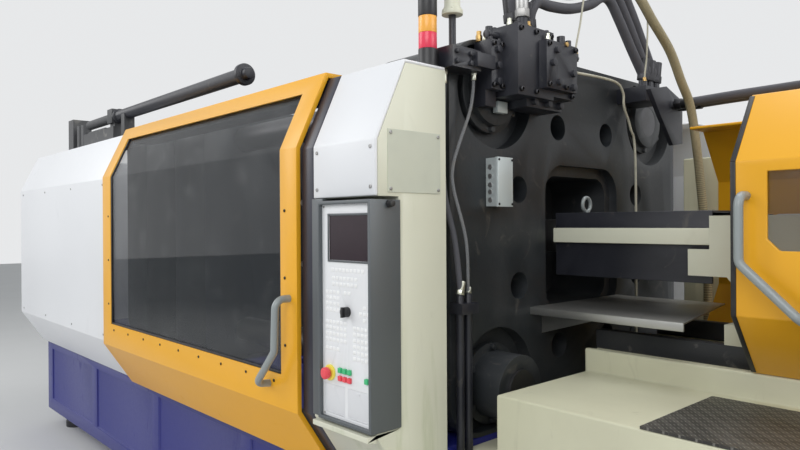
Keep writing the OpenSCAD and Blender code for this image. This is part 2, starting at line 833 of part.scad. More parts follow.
// Bracket at the rear corner of the platen, where the hoses are clamped
module hose_bracket() {
  color([0.09, 0.09, 0.1]) {
    translate([platen_t, 296, bracket_top - 70]) cube([bracket_x - platen_t, 194, 70]);
    along_x(bracket_x, bracket_t)
      polygon([[296, 2219], [454, 2251], [622, 2199], [619, 1986], [522, 1973], [395, 2106]]);
    for (i = [0 : 2]) translate([560, arch_line[len(arch_line) - 1][0] + arch_gap * i, bracket_top])
      cylinder(h = port_h, r = 20);
    translate([588, 308, bracket_top]) cylinder(h = 20, r = 8);
    for (i = [0, 1]) translate([0, bundle_y + i * bundle_gap, bundle_z])
      bar_x(bracket_x + bracket_t, 12, 24);
  }
}

// Block with two glands low on the platen face, and the pipes that go down from it
module gland_block() {
  color([0.09, 0.09, 0.1]) {
    translate([platen_t, -880, 1268]) cube([60, 90, 40]);
    for (y = [-860, -815]) {
      translate([platen_t + 30, y, platen_low - 20]) cylinder(h = 1268 - platen_low + 20, r = 15);
      translate([platen_t + 30, y, 1308]) cylinder(h = 30, r = 14);
    }
  }
}

// Hydraulic fittings on the platen
module manifold() {
  valve_block();
  hose_bracket();
  gland_block();
}

module terminal_box() {
  color([0.62, 0.68, 0.68]) {
    translate([platen_t, -676, 1664]) cube([48, 86, 186]);
    translate([platen_t + 48, -678, 1662]) cube([14, 90, 190]);
  }
}

acc_y = -930;
acc_z = 2370;
acc_r = 38;
saddle_x = -2560;
acc_block_left = -3780;
acc_block_right = rear_x - 10;

// Long black hydraulic accumulator lying above the clamp cover
module accumulator() {
  len = 1750;
  color([0.1, 0.1, 0.11]) translate([0, acc_y, acc_z]) {
    bar_x(acc_block_right, len, acc_r);
    bar_x(acc_block_right + len, 30, acc_r + 18);
    bar_x(acc_block_right + len + 30, 40, acc_r - 8);
    bar_x(acc_block_right, 30, acc_r + 12);
  }
}

// Valve block and carrier that hold the accumulator
module accumulator_block() {
  base_z = cover_top;
  color([0.3, 0.31, 0.33]) {
    right = acc_block_right;
    translate([acc_block_left, acc_y - 45, base_z])
      cube([right - acc_block_left, 150, 30]);
    translate([right - 640, acc_y - 40, base_z + 30]) cube([640, 120, 120]);
    translate([right - 560, acc_y - 30, base_z + 150]) cube([360, 100, acc_z - base_z - 210]);
    translate([right - 90, acc_y - 30, base_z + 150]) cube([90, 100, acc_z - base_z - 200]);
    translate([right - 90, acc_y - 50, acc_z - acc_r - 12]) cube([90, 100, 100]);
    translate([0, acc_y, acc_z]) bar_x(right - 600, 510, acc_r - 4);
    translate([-3720, acc_y - 40, base_z + 30]) cube([120, 130, 270]);
    for (x = [-3540, -3440]) translate([x, acc_y + 10, base_z + 30]) cylinder(h = 210, r = 38);
    difference() {
      translate([saddle_x, acc_y - 40, base_z]) cube([60, 70, acc_z - base_z - 8]);
      translate([0, acc_y, acc_z]) bar_x(saddle_x - 1, 62, acc_r);
    }
  }
}

// Rails of the injection unit
module slide_rails() {
  color([0.1, 0.1, 0.11]) {
    for (s = [-1, 1]) translate([deck_x, s * rail_y - rail_w / 2, rail_z])
      cube([inj_base_right - deck_x, rail_w, rail_h]);
  }
}

// Steel tray under the nozzle, with its front lip and two carriers
module drip_tray() {
  right = platen_t + tray_len;
  color([0.45, 0.45, 0.43]) {
    translate([0, 0, tray_h]) linear_extrude(tray_t)
      polygon([[platen_t, -tray_front], [right, -tray_front], [right - 135, tray_back],
               [platen_t, tray_back]]);
    translate([platen_t, -tray_front, tray_h - tray_lip]) cube([tray_len, tray_t, tray_lip]);
    for (y = [100 - tray_front, tray_back - 100]) translate([0, y, 0]) rotate([90, 0, 0])
      linear_extrude(20) polygon([[platen_t, tray_h + weld], [platen_t, tray_h - 110],
                                  [platen_t + 360, tray_h], [platen_t + 360, tray_h + weld]]);
  }
}

// Raised pattern plate on the deck
module step_plate() {
  plate_x = 1200;
  color([0.2, 0.19, 0.18]) for (s = [-1, 1])
    translate([plate_x, s > 0 ? step_y : -inj_base_hw, deck_h])
      cube([inj_base_right - plate_x, inj_base_hw - step_y, step_t]);
}

// Point on a smooth curve through the list p, at t from 0 to len(p) - 1
function smooth(p, t) = let (
  i = min(floor(t), len(p) - 2), u = t - i,
  a = p[max(i - 1, 0)], b = p[i], c = p[i + 1], d = p[min(i + 2, len(p) - 1)])
  0.5 * (2 * b + (c - a) * u + (2 * a - 5 * b + 4 * c - d) * u * u
         + (3 * b - a - 3 * c + d) * u * u * u);

function unit(v) = v / norm(v);

// Tube swept along a route; ref is a direction that the route never takes
module tube(route, r, ref, steps, sides = 8) {
  n = (len(route) - 1) * steps;
  pts = [for (k = [0 : n]) smooth(route, k / steps)];
  rings = [for (k = [0 : n]) let (
    t = unit(k == 0 ? route[1] - route[0] :
             k == n ? route[len(route) - 1] - route[len(route) - 2] : pts[k + 1] - pts[k - 1]),
    u = unit(cross(t, ref)), v = cross(t, u))
    for (s = [0 : sides - 1]) pts[k] + r * (u * cos(s * 360 / sides) + v * sin(s * 360 / sides))];
  walls = [for (k = [0 : n - 1], s = [0 : sides - 1]) let (q = (s + 1) % sides)
    [k * sides + s, k * sides + q, (k + 1) * sides + q, (k + 1) * sides + s]];
  polyhedron(rings, concat(walls,
    [[for (s = [sides - 1 : -1 : 0]) s], [for (s = [0 : sides - 1]) n * sides + s]]));
}

along = [1, 0, 0];
across = [0, 1, 0];
// Inner arching hose in Y and Z, and the way out from it to the hoses above
arch_line = [[-460, valve_top + port_h + hose_seat, -1, 0], [-460, 2400, -1, 0],
             [-456, 2450, -1, 0.3], [-420, 2492, -0.6, 0.9],
             [-340, 2492, -0.1, 1], [-203, 2509, 0, 1], [-56, 2558, 0, 1], [30, 2606, 0, 1],
             [90, 2598, 0.5, 0.9], [158, 2525, 0.9, 0.5], [261, 2405, 1, 0.2],
             [330, 2325, 1, 0], [344, 2296, 1, 0], [344, bracket_top + port_h + hose_seat, 1, 0]];
function arch_route(i) = [for (k = [0 : 13]) let (p = arch_line[k])
  [arch_x + 60 * min(max(k - 1, 0), 11) / 11, p[0] + arch_gap * i * p[2],
   p[1] + arch_gap * i * p[3]]];
// Braided hose from the valve block to the deck
braid_route = [[570, -600, valve_top + port_h + hose_seat], [570, -600, 2410],
               [571, -598, 2520], [585, -540, 2690], [620, -380, 2790],
               [670, -180, 2740], [725, -10, 2560], [740, 84, 2469], [740, 245, 2365],
               [740, 354, 2244], [740, 440, 2150], [743, 485, 2020], [748, 530, 1800],
               [750, 600, 1400], [750, 600, deck_h + hose_seat]];
// Bundle from the bracket to the deck
bundle_route = [[634.6, 520, 2170], [700, 520, 2170], [1000, 520, 2176], [1500, 525, 2174], [1860, 560, 2130],
                [2080, 600, 1960], [2140, 640, 1500], [2140, 640, deck_h + step_t + hose_seat]];
// Hose from the arm down to the gland block
drop_route = [[470, -930, 2151.4], [470, -931, 2050], [465, -932, 1815], [472, -925, 1683],
              [478, -885, 1541], [480, -860, 1370], [480, -860, 1338.6]];
side_route = [[505, -806, 2151.4], [504, -809, 2085], [501, -825, 2005], [494, -877, 1882],
              [488, -903, 1797], [490, -900, 1720], [502, -850, 1540],
              [480, -815, 1366], [480, -815, 1338.6]];
// Thin sensor cable down the platen face, and the grease line over the platen
sensor_route = [[500, -299.4, 2240], [501, -270, 2240], [508, -100, 2250], [505, 180, 2255],
                [500, 266, 2215], [495, 284, 2150], [485, 360, 2060], [478, 420, 1900],
                [478, 420, 1100], [478, 420, 760.5]];
grease_route = [[590, -268, 2292.5], [590, -266, 2330], [592, -240, 2420], [600, -195, 2600],
                [606, -60, 2760], [608, 130, 2780], [606, 290, 2600], [600, 306, 2400],
                [588, 308, 2290], [588, 308, 2260.5]];

module hoses() {
  color([0.08, 0.08, 0.09]) {
    for (i = [0 : 2]) tube(arch_route(i), 22, along, 3);
    for (s = [0, bundle_gap]) tube([for (p = bundle_route) p + [0, s, 0]], 22, across, 3);
    tube(drop_route, 11, across, 4);
    tube(side_route, 6, across, 3);
  }
  color([0.6, 0.55, 0.42]) tube(braid_route, 20, along, 3);
  color([0.7, 0.7, 0.62]) {
    tube(sensor_route, 6, along, 4);
    tube(grease_route, 4, along, 3);
  }
}

// Outer line of the sliding gate
gate_line = shifted(shell_line(cover_y, top_flange), gate_gap + gate_t);

module gate_opening(grow) {
  translate([gate_left + gate_stile_left - grow, gate_y - 60, gate_sill - grow])
    cube([gate_right - gate_left - gate_stile_left - gate_stile_right + 2 * grow,
          400, gate_head - gate_sill + 2 * grow]);
}

module gate_frame() {
  color([0.95, 0.63, 0.06]) difference() {
    along_x(gate_left, gate_right - gate_left) sheet(gate_line, gate_t);
    gate_opening(0);
    along_x(gate_left + gate_stile_left - 15,
            gate_right - gate_left - gate_stile_left - gate_stile_right + 30)
      polygon(concat(shifted(gate_line, -gate_t + pane_t), reversed(shifted(gate_line, -gate_t - 1))),
              [[for (i = [0 : 2 * len(gate_line) - 1]) i]]);
  }
}

module gate_window() {
  color([0.55, 0.62, 0.7, 0.35]) intersection() {
    along_x(gate_left + gate_stile_left - 14,
            gate_right - gate_left - gate_stile_left - gate_stile_right + 28)
      polygon(concat(shifted(gate_line, -gate_t + pane_t), reversed(shifted(gate_line, -gate_t))));
    gate_opening(14);
  }
}

// Round bar between two points
module rod(a, b, r) {
  d = b - a;
  translate(a) rotate([0, acos(d[2] / norm(d)), atan2(d[1], d[0])]) cylinder(h = norm(d), r = r);
}

// Bent tube handle on two feet, through the points p as [along X, out of the panel, down]
module handle(x, y, z, p) {
  q = [for (v = p) [x + v[0], y - v[1], z - v[2]]];
  foot = 14;
  color([0.66, 0.68, 0.68]) {
    for (i = [0 : 3]) rod(q[i], q[i + 1], handle_r);
    for (i = [1 : 3]) translate(q[i]) sphere(r = handle_r * 1.04);
    for (i = [0, 4]) translate([q[i][0], 0, q[i][2]]) bar_y(y - foot, foot, handle_r + 6);
  }
}

module gate_handle() {
  handle(gate_right - 46, gate_y, 1322, [
    [0, handle_r + 2, 0], [-118, handle_out, 38], [-118, handle_out, 171],
    [-243, handle_out, 312], [-168, handle_r, 324]]);
}

function purge_shell() = [
  [-purge_y + purge_inset, purge_low], [-purge_y, purge_fold_lo],
  [-purge_y, purge_fold_hi], [-purge_y + purge_inset, purge_top],
  [-purge_y + purge_inset + 140, purge_top]];

purge_win_left = purge_left + 101;
purge_win_low = 1512;
purge_win_high = 1750;
purge_win_cut = 35;
purge_win_right = purge_left + purge_len - 110;

// Window outline of the purge guard in X and Z, with cut lower corners
module purge_opening(grow, y, t) {
  left = purge_win_left - grow;
  right = purge_win_right + grow;
  low = purge_win_low - grow;
  high = purge_win_high + grow;
  cut = purge_win_cut;
  translate([0, y + t, 0]) rotate([90, 0, 0]) linear_extrude(t)
    polygon([[left + cut, low], [right - cut, low], [right, low + cut], [right, high],
             [left, high], [left, low + cut]]);
}

module purge_guard() {
  color([0.95, 0.63, 0.06]) difference() {
    along_x(purge_left, purge_len) sheet(purge_shell(), sheet_t);
    purge_opening(0, -purge_y - 20, 60);
  }
}

module purge_window() {
  color([0.6, 0.65, 0.7, 0.35]) purge_opening(14, -purge_y + sheet_t, pane_t);
}

module purge_handle() {
  handle(purge_left + 42, -purge_y, 1703, [
    [0, handle_r, 0], [-38, handle_out, 13], [-38, handle_out, 162],
    [147, handle_out, 379], [185, handle_r, 393]]);
}

module moving_platen() {
  shoe_h = 30;
  color([0.16, 0.17, 0.18]) difference() {
    union() {
      along_x(moving_x, moving_t) difference() {
        platen_outline();
        translate([-2000, platen_low - 1]) square([4000, shoe_h + 1]);
      }
      for (s = [-1, 1]) translate([moving_x + 30, s * 700 - 110, platen_low + 0.3])
        cube([moving_t - 60, 220, shoe_h]);
    }
    at_tie_bars() bar_x(moving_x - 1, moving_t + 2, tie_r + bar_clear);
    at_square(2 * eject_pitch / sqrt(2)) bar_x(moving_x - 1, moving_t + 2, eject_rod_r + fit);
    at_square(bolt_pitch_outer) bar_x(-daylight - bolt_d, bolt_d + 1, bolt_r);
    translate([0, 0, axis_h]) bar_x(-daylight - locating_d, locating_d + 1, locating_r);
  }
}

module clamp_ram() {
  color([0.78, 0.79, 0.8]) translate([0, 0, axis_h]) {
    bar_x(moving_x - ram_len, ram_len, ram_r);
    bar_x(moving_x - 50, 50, ram_r + 35);
  }
}

// Ejector plate round the ram, with four rods through the moving platen
module ejector_plate() {
  side_w = 2 * eject_pitch / sqrt(2) + 160;
  plate_x = moving_x - eject_gap - eject_t;
  color([0.55, 0.56, 0.58]) {
    difference() {
      along_x(plate_x, eject_t) translate([0, axis_h]) plate2d(side_w + 60, side_w + 60, 60);
      translate([0, 0, axis_h]) bar_x(plate_x - 1, eject_t + 2, ram_r + 45);
    }
    at_square(2 * eject_pitch / sqrt(2))
      bar_x(plate_x + eject_t, eject_gap + moving_t - 8, eject_rod_r);
  }
}

carriage_low = rail_top + 0.3;
head_len = 830;
feed_start = 480;
trough_top = 1621;
trough_low = 1405;
trough_hw = 205;
head_top = 1880;
hopper_x = carriage_x + 660;
yoke_x = 2500;
cross_x = 2050;
yoke_top = 1760;
bed_t = 70;
bed_len = 2120;
drive_rod_r = 32;
cyl_off = 185;

// Carriage on the rails: bed, trough round the barrel, feed block, yoke and drive cylinders
module carriage() {
  bed_top = carriage_low + bed_t;
  front = carriage_x;
  color([0.83, 0.82, 0.74]) difference() {
    union() {
      translate([front + 60, -rail_y - rail_w / 2, carriage_low])
        cube([bed_len - 60, 2 * rail_y + rail_w, bed_t]);
      translate([0, carriage_hw, 0]) rotate([90, 0, 0]) linear_extrude(2 * carriage_hw)
        polygon([[front, trough_top], [front, trough_low], [front + 60, trough_low],
                 [front + 190, bed_top], [front + 190, bed_top - weld],
                 [front + head_len, bed_top - weld],
                 [front + head_len, head_top], [front + feed_start, head_top],
                 [front + feed_start, trough_top]]);
      for (s = [-1, 1]) translate([front - 77, s > 0 ? guard_hw + 13 : -carriage_hw, trough_low])
        cube([78, carriage_hw - guard_hw - 13, 96]);
      translate([yoke_x, -carriage_hw, bed_top - weld])
        cube([100, 2 * carriage_hw, yoke_top - bed_top + weld]);
      for (s = [-1, 1]) translate([0, s * cyl_off, axis_h]) bar_x(yoke_x + 100, 480, 62);
    }
    translate([front - 80, -trough_hw, bed_top + 40])
      cube([feed_start + 80, 2 * trough_hw, trough_top]);
    translate([0, 0, axis_h]) bar_x(front - 1, head_len + 2, barrel_r);
    translate([0, 0, axis_h]) bar_x(yoke_x - 1, 102, 141);
    for (s = [-1, 1]) translate([0, s * cyl_off, axis_h]) bar_x(yoke_x - 1, 561, drive_rod_r + fit);
    translate([hopper_x, 0, axis_h]) cylinder(h = head_top, r = 50);
  }
}

// Barrel with its nozzle, feed hole and bore
module barrel() {
  tip = 36;
  cone = 55;
  start = pocket_x + 60;
  end_x = carriage_x + head_len;
  color([0.5, 0.5, 0.5]) difference() {
    translate([0, 0, axis_h]) rotate([0, 90, 0]) rotate_extrude() polygon([
      [0, tip], [24, tip], [50, tip + cone], [50, start], [barrel_r - 12, start + 40],
      [barrel_r, start + 40], [barrel_r, end_x], [0, end_x]]);
    translate([0, 0, axis_h]) bar_x(start + 60, end_x, screw_r + fit);
    translate([0, 0, axis_h]) bar_x(tip - 1, start + 70, 5);
    translate([hopper_x, 0, axis_h]) cylinder(h = barrel_r + 1, r = 38);
  }
}

module heater_bands() {
  band = 130;
  first = platen_t - 120;
  color([0.62, 0.6, 0.55]) for (i = [0 : 7]) translate([0, 0, axis_h]) difference() {
    bar_x(first + i * (band + 26), band, barrel_r + 12);
    bar_x(first + i * (band + 26) - 1, band + 2, barrel_r);
  }
}

// Sheet hood over the barrel, with the cream guide bar on its side
module barrel_guard() {
  x0 = platen_t + 5;
  line = [[-guard_hw, axis_h - guard_down], [-guard_hw, axis_h + guard_up],
          [guard_hw, axis_h + guard_up], [guard_hw, axis_h - guard_down]];
  color([0.1, 0.1, 0.11]) {
    along_x(x0, carriage_x - x0) sheet(line, 8);
    translate([x0, -guard_hw - 12, axis_h - 25]) cube([carriage_x - x0, 12, 63]);
  }
}

hopper_r = 330;
hopper_h = 620;
lid_pin_y = hopper_r + 18;
module hopper() {
  throat = 70;
  wall = 4;
  color([0.8, 0.81, 0.82]) translate([hopper_x, 0, head_top]) rotate_extrude()
    polygon([[50, 0], [120, 0], [120, 18], [throat, 18], [throat, 60],
             [hopper_r, 330], [hopper_r, hopper_h], [hopper_r - wall, hopper_h],
             [hopper_r - wall, 332], [throat - wall, 62], [50, 20]]);
  color([0.8, 0.81, 0.82]) translate([hopper_x, hopper_r - 2, head_top + hopper_h - 50])
    difference() {
      for (x = [-110, 90]) translate([x, 0, 0]) cube([20, 34, 66]);
      translate([0, lid_pin_y - hopper_r + 2, 56]) bar_x(-120, 240, 5);
    }
  color([0.5, 0.5, 0.5]) translate([hopper_x, lid_pin_y, head_top + hopper_h + 6])
    bar_x(-110, 220, 5);
}

// Lid on the hopper, hinged at the back
module hopper_lid() {
  top = head_top + hopper_h;
  color([0.75, 0.76, 0.78]) translate([hopper_x, 0, top + 0.4]) {
    cylinder(h = 5, r = hopper_r + 6);
    translate([0, -hopper_r + 70, 5]) cylinder(h = 30, r = 14);
    for (x = [-80, 60]) difference() {
      translate([x, hopper_r - 4, 0]) cube([20, 32, 14]);
      translate([0, lid_pin_y, 5.6]) bar_x(x - 1, 22, 5.4);
    }
  }
}

// Crosshead that pushes the screw, with its rods and drive motor
module crosshead() {
  color([0.2, 0.21, 0.23]) difference() {
    union() {
      translate([cross_x, -230, carriage_low + bed_t + 0.3]) cube([150, 460, 480]);
      translate([0, 0, axis_h]) bar_x(cross_x + 150, 330, 112);
      for (s = [-1, 1]) translate([0, s * cyl_off, axis_h]) bar_x(cross_x + 150, 480, drive_rod_r);
    }
    translate([0, 0, axis_h]) bar_x(cross_x - 1, 120, 36 + fit);
  }
}

module screw() {
  tip_x = pocket_x + 150;
  color([0.7, 0.7, 0.72]) translate([0, 0, axis_h]) {
    bar_x(tip_x + 60, cross_x + 100 - tip_x - 60, 36);
    translate([tip_x, 0, 0]) rotate([0, 90, 0]) cylinder(h = 60, r1 = 6, r2 = 36);
    for (i = [0 : 20]) bar_x(tip_x + 80 + i * 70, 12, screw_r);
  }
}

clamp_base();
injection_base();
levelling_feet();
fixed_platen();
tie_bars();
tie_bar_nuts();
rear_platen();
clamp_cylinder();
clamp_covers();
gate_rails();
rear_guards();
gate_post();
platen_cover();
side_housing();
panel_housing();
panel_fascia();
panel_screen();
panel_keys();
stop_collar();
lamp_base();
lamp_red();
lamp_amber();
rod_block();
air_cylinder();
manifold();
terminal_box();
accumulator();
accumulator_block();
slide_rails();
drip_tray();
step_plate();
hoses();
gate_frame();
gate_window();
gate_handle();
purge_guard();
purge_window();
purge_handle();
moving_platen();
clamp_ram();
ejector_plate();
carriage();
barrel();
heater_bands();
barrel_guard();
hopper();
crosshead();
screw();
hopper_lid();
stop_button();
selector_knob();
drive_door_left();
drive_door_right();
key_green_1();
key_green_2();
key_green_3();
key_red_1();
key_red_2();
key_red_3();
key_single();
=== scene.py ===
import logging
import math
from dataclasses import dataclass
from enum import Enum
from typing import Iterable, Sequence

import bpy
from mathutils import Matrix, Vector


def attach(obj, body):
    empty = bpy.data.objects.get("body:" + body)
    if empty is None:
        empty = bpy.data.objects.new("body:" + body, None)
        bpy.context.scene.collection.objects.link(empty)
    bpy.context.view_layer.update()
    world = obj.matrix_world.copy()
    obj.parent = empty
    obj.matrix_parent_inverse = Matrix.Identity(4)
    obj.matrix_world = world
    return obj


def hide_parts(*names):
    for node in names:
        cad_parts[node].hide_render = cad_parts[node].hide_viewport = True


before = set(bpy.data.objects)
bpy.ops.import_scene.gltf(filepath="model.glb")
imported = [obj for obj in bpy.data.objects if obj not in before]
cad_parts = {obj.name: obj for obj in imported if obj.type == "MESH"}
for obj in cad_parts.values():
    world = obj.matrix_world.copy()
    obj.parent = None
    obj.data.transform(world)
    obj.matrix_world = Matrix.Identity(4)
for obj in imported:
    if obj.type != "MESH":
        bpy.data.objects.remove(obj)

"""Dresses the injection moulding machine: finishes, hoses, fasteners, camera and light.

Lengths are in metres in the frame of the CAD model: +X to the injection unit, -Y to the
operator, +Z up, with the origin on the floor under the mould side of the fixed platen.
"""

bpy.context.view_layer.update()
log = logging.getLogger("machine")
Point = tuple[float, float, float]
Colour = tuple[float, float, float]
Piece = bpy.types.Object
Material = bpy.types.Material

FRONT: Point = (0.0, -1.0, 0.0)
REAR: Point = (0.0, 1.0, 0.0)
RIGHT: Point = (1.0, 0.0, 0.0)
LEFT: Point = (-1.0, 0.0, 0.0)
UP: Point = (0.0, 0.0, 1.0)

# In a CAD mesh, points closer than this are one, and faces flatter than this are joined
MERGE = 0.00002
FLAT_DEGREES = 0.4
# Edges of a CAD mesh flatter than this are shaded smooth
SHADE_DEGREES = 35.0
# Radius and height of each kind of screw head
PANEL_HEAD = (0.004, 0.002)
BOX_HEAD = (0.005, 0.003)
SHEET_HEAD = (0.006, 0.003)
COVER_HEAD = (0.007, 0.0025)
BLOCK_HEAD = (0.010, 0.010)
FLANGE_HEAD = (0.020, 0.022)


class Look(Enum):
    """How the surface of a finish is made; each value names the method of Finish for it."""

    PAINT = "paint"
    CASTING = "casting"
    METAL = "metal"
    PLASTIC = "plastic"
    PANE = "pane"
    LENS = "lens"
    RUBBER = "rubber"
    BRAID = "braid"
    CHEQUER = "chequer"
    MARKED = "marked"
    GRIMY = "grimy"


class Sock:
    """A number that varies over a surface, written as a Python expression."""

    def __init__(self, sheet: "NodeSheet", link: bpy.types.NodeSocket) -> None:
        """Wraps one output socket of a material."""
        self.sheet = sheet
        self.link = link

    def _maths(self, operation: str, a: "Sock | float", b: "Sock | float") -> "Sock":
        """Adds one Math node for two values."""
        return self.sheet.node("ShaderNodeMath", {"operation": operation}, {0: a, 1: b})

    def __add__(self, other: "Sock | float") -> "Sock":
        """Sum."""
        return self._maths("ADD", self, other)

    __radd__ = __add__

    def __mul__(self, other: "Sock | float") -> "Sock":
        """Product."""
        return self._maths("MULTIPLY", self, other)

    __rmul__ = __mul__

    def __sub__(self, other: "Sock | float") -> "Sock":
        """Difference."""
        return self._maths("SUBTRACT", self, other)

    def __rsub__(self, other: "Sock | float") -> "Sock":
        """Difference with the number first."""
        return self._maths("SUBTRACT", other, self)

    def wave(self) -> "Sock":
        """Sine of this value, which is in turns."""
        return self._maths("SINE", self * math.tau, 0.0)

    def fade(self, low: float, high: float) -> "Sock":
        """Rises from 0 at low to 1 at high, and stays between them.

        Args:
            low: The value that gives 0.
            high: The value that gives 1.

        Returns:
            The faded value.
        """
        return self.sheet.node("ShaderNodeMapRange",
                               {"interpolation_type": "SMOOTHSTEP", "clamp": True},
                               {"Value": self, "From Min": low, "From Max": high})


class NodeSheet:
    """Node tree of a material or world, with a single method that makes any node."""

    def __init__(self, owner: Material | bpy.types.World) -> None:
        """Empties the owner's tree."""
        self.owner = owner
        owner.use_nodes = True
        self.tree = owner.node_tree
        self.tree.nodes.clear()

    def node(self, kind: str, settings: dict[str, object] | None = None,
             inputs: dict[int | str, object] | None = None, out: int | str = 0) -> Sock:
        """Makes a node, sets it and links it.

        Args:
            kind: The node's type.
            settings: Its own settings.
            inputs: Values or links of its sockets, by name or place.
            out: The output that is returned.

        Returns:
            The chosen output as a Sock.
        """
        made = self.tree.nodes.new(kind)
        for key, value in (settings or {}).items():
            setattr(made, key, value)
        for key, value in (inputs or {}).items():
            socket = made.inputs[key]
            if isinstance(value, Sock):
                self.tree.links.new(value.link, socket)
            elif isinstance(value, tuple) and len(value) == 3 and socket.type == "RGBA":
                socket.default_value = (*value, 1.0)
            else:
                socket.default_value = value
        return Sock(self, made.outputs[out] if made.outputs else None)

    def place(self, stretch: Point = (1.0, 1.0, 1.0)) -> Sock:
        """Object coordinates, stretched along the axes."""
        where = self.node("ShaderNodeTexCoord", out="Object")
        if stretch == (1.0, 1.0, 1.0):
            return where
        return self.node("ShaderNodeMapping", {}, {"Vector": where, "Scale": stretch})

    def noise(self, scale: float, detail: float = 3.0, stretch: Point = (1.0, 1.0, 1.0),
              warp: float = 0.0) -> Sock:
        """Cloudy noise from 0 to 1 on Object coordinates."""
        return self.node("ShaderNodeTexNoise", {}, {
            "Vector": self.place(stretch), "Scale": scale, "Detail": detail,
            "Roughness": 0.6, "Distortion": warp})

    def cells(self, scale: float) -> Sock:
        """Distance pattern of scattered cells."""
        return self.node("ShaderNodeTexVoronoi", {"feature": "F1"},
                         {"Vector": self.place(), "Scale": scale}, out="Distance")

    def axis(self, index: int) -> Sock:
        """One Object coordinate: 0, 1 or 2 for X, Y or Z."""
        return self.node("ShaderNodeSeparateXYZ", {}, {0: self.place()}, out=index)

    def blend(self, factor: Sock | float, a: Sock | Colour, b: Sock | Colour) -> Sock:
        """Mixes two colours by a factor."""
        return self.node("ShaderNodeMix", {"data_type": "RGBA"}, {0: factor, 6: a, 7: b}, out=2)

    def bump(self, height: Sock, strength: float, distance: float) -> Sock:
        """Normal from a height pattern."""
        return self.node("ShaderNodeBump", {}, {"Height": height, "Strength": strength,
                                                "Distance": distance})

    def close(self, inputs: dict[int | str, object]) -> Material:
        """Ends the tree in a Principled shader and the output."""
        shader = self.node("ShaderNodeBsdfPrincipled", {}, inputs)
        self.node("ShaderNodeOutputMaterial", {}, {"Surface": shader})
        return self.owner


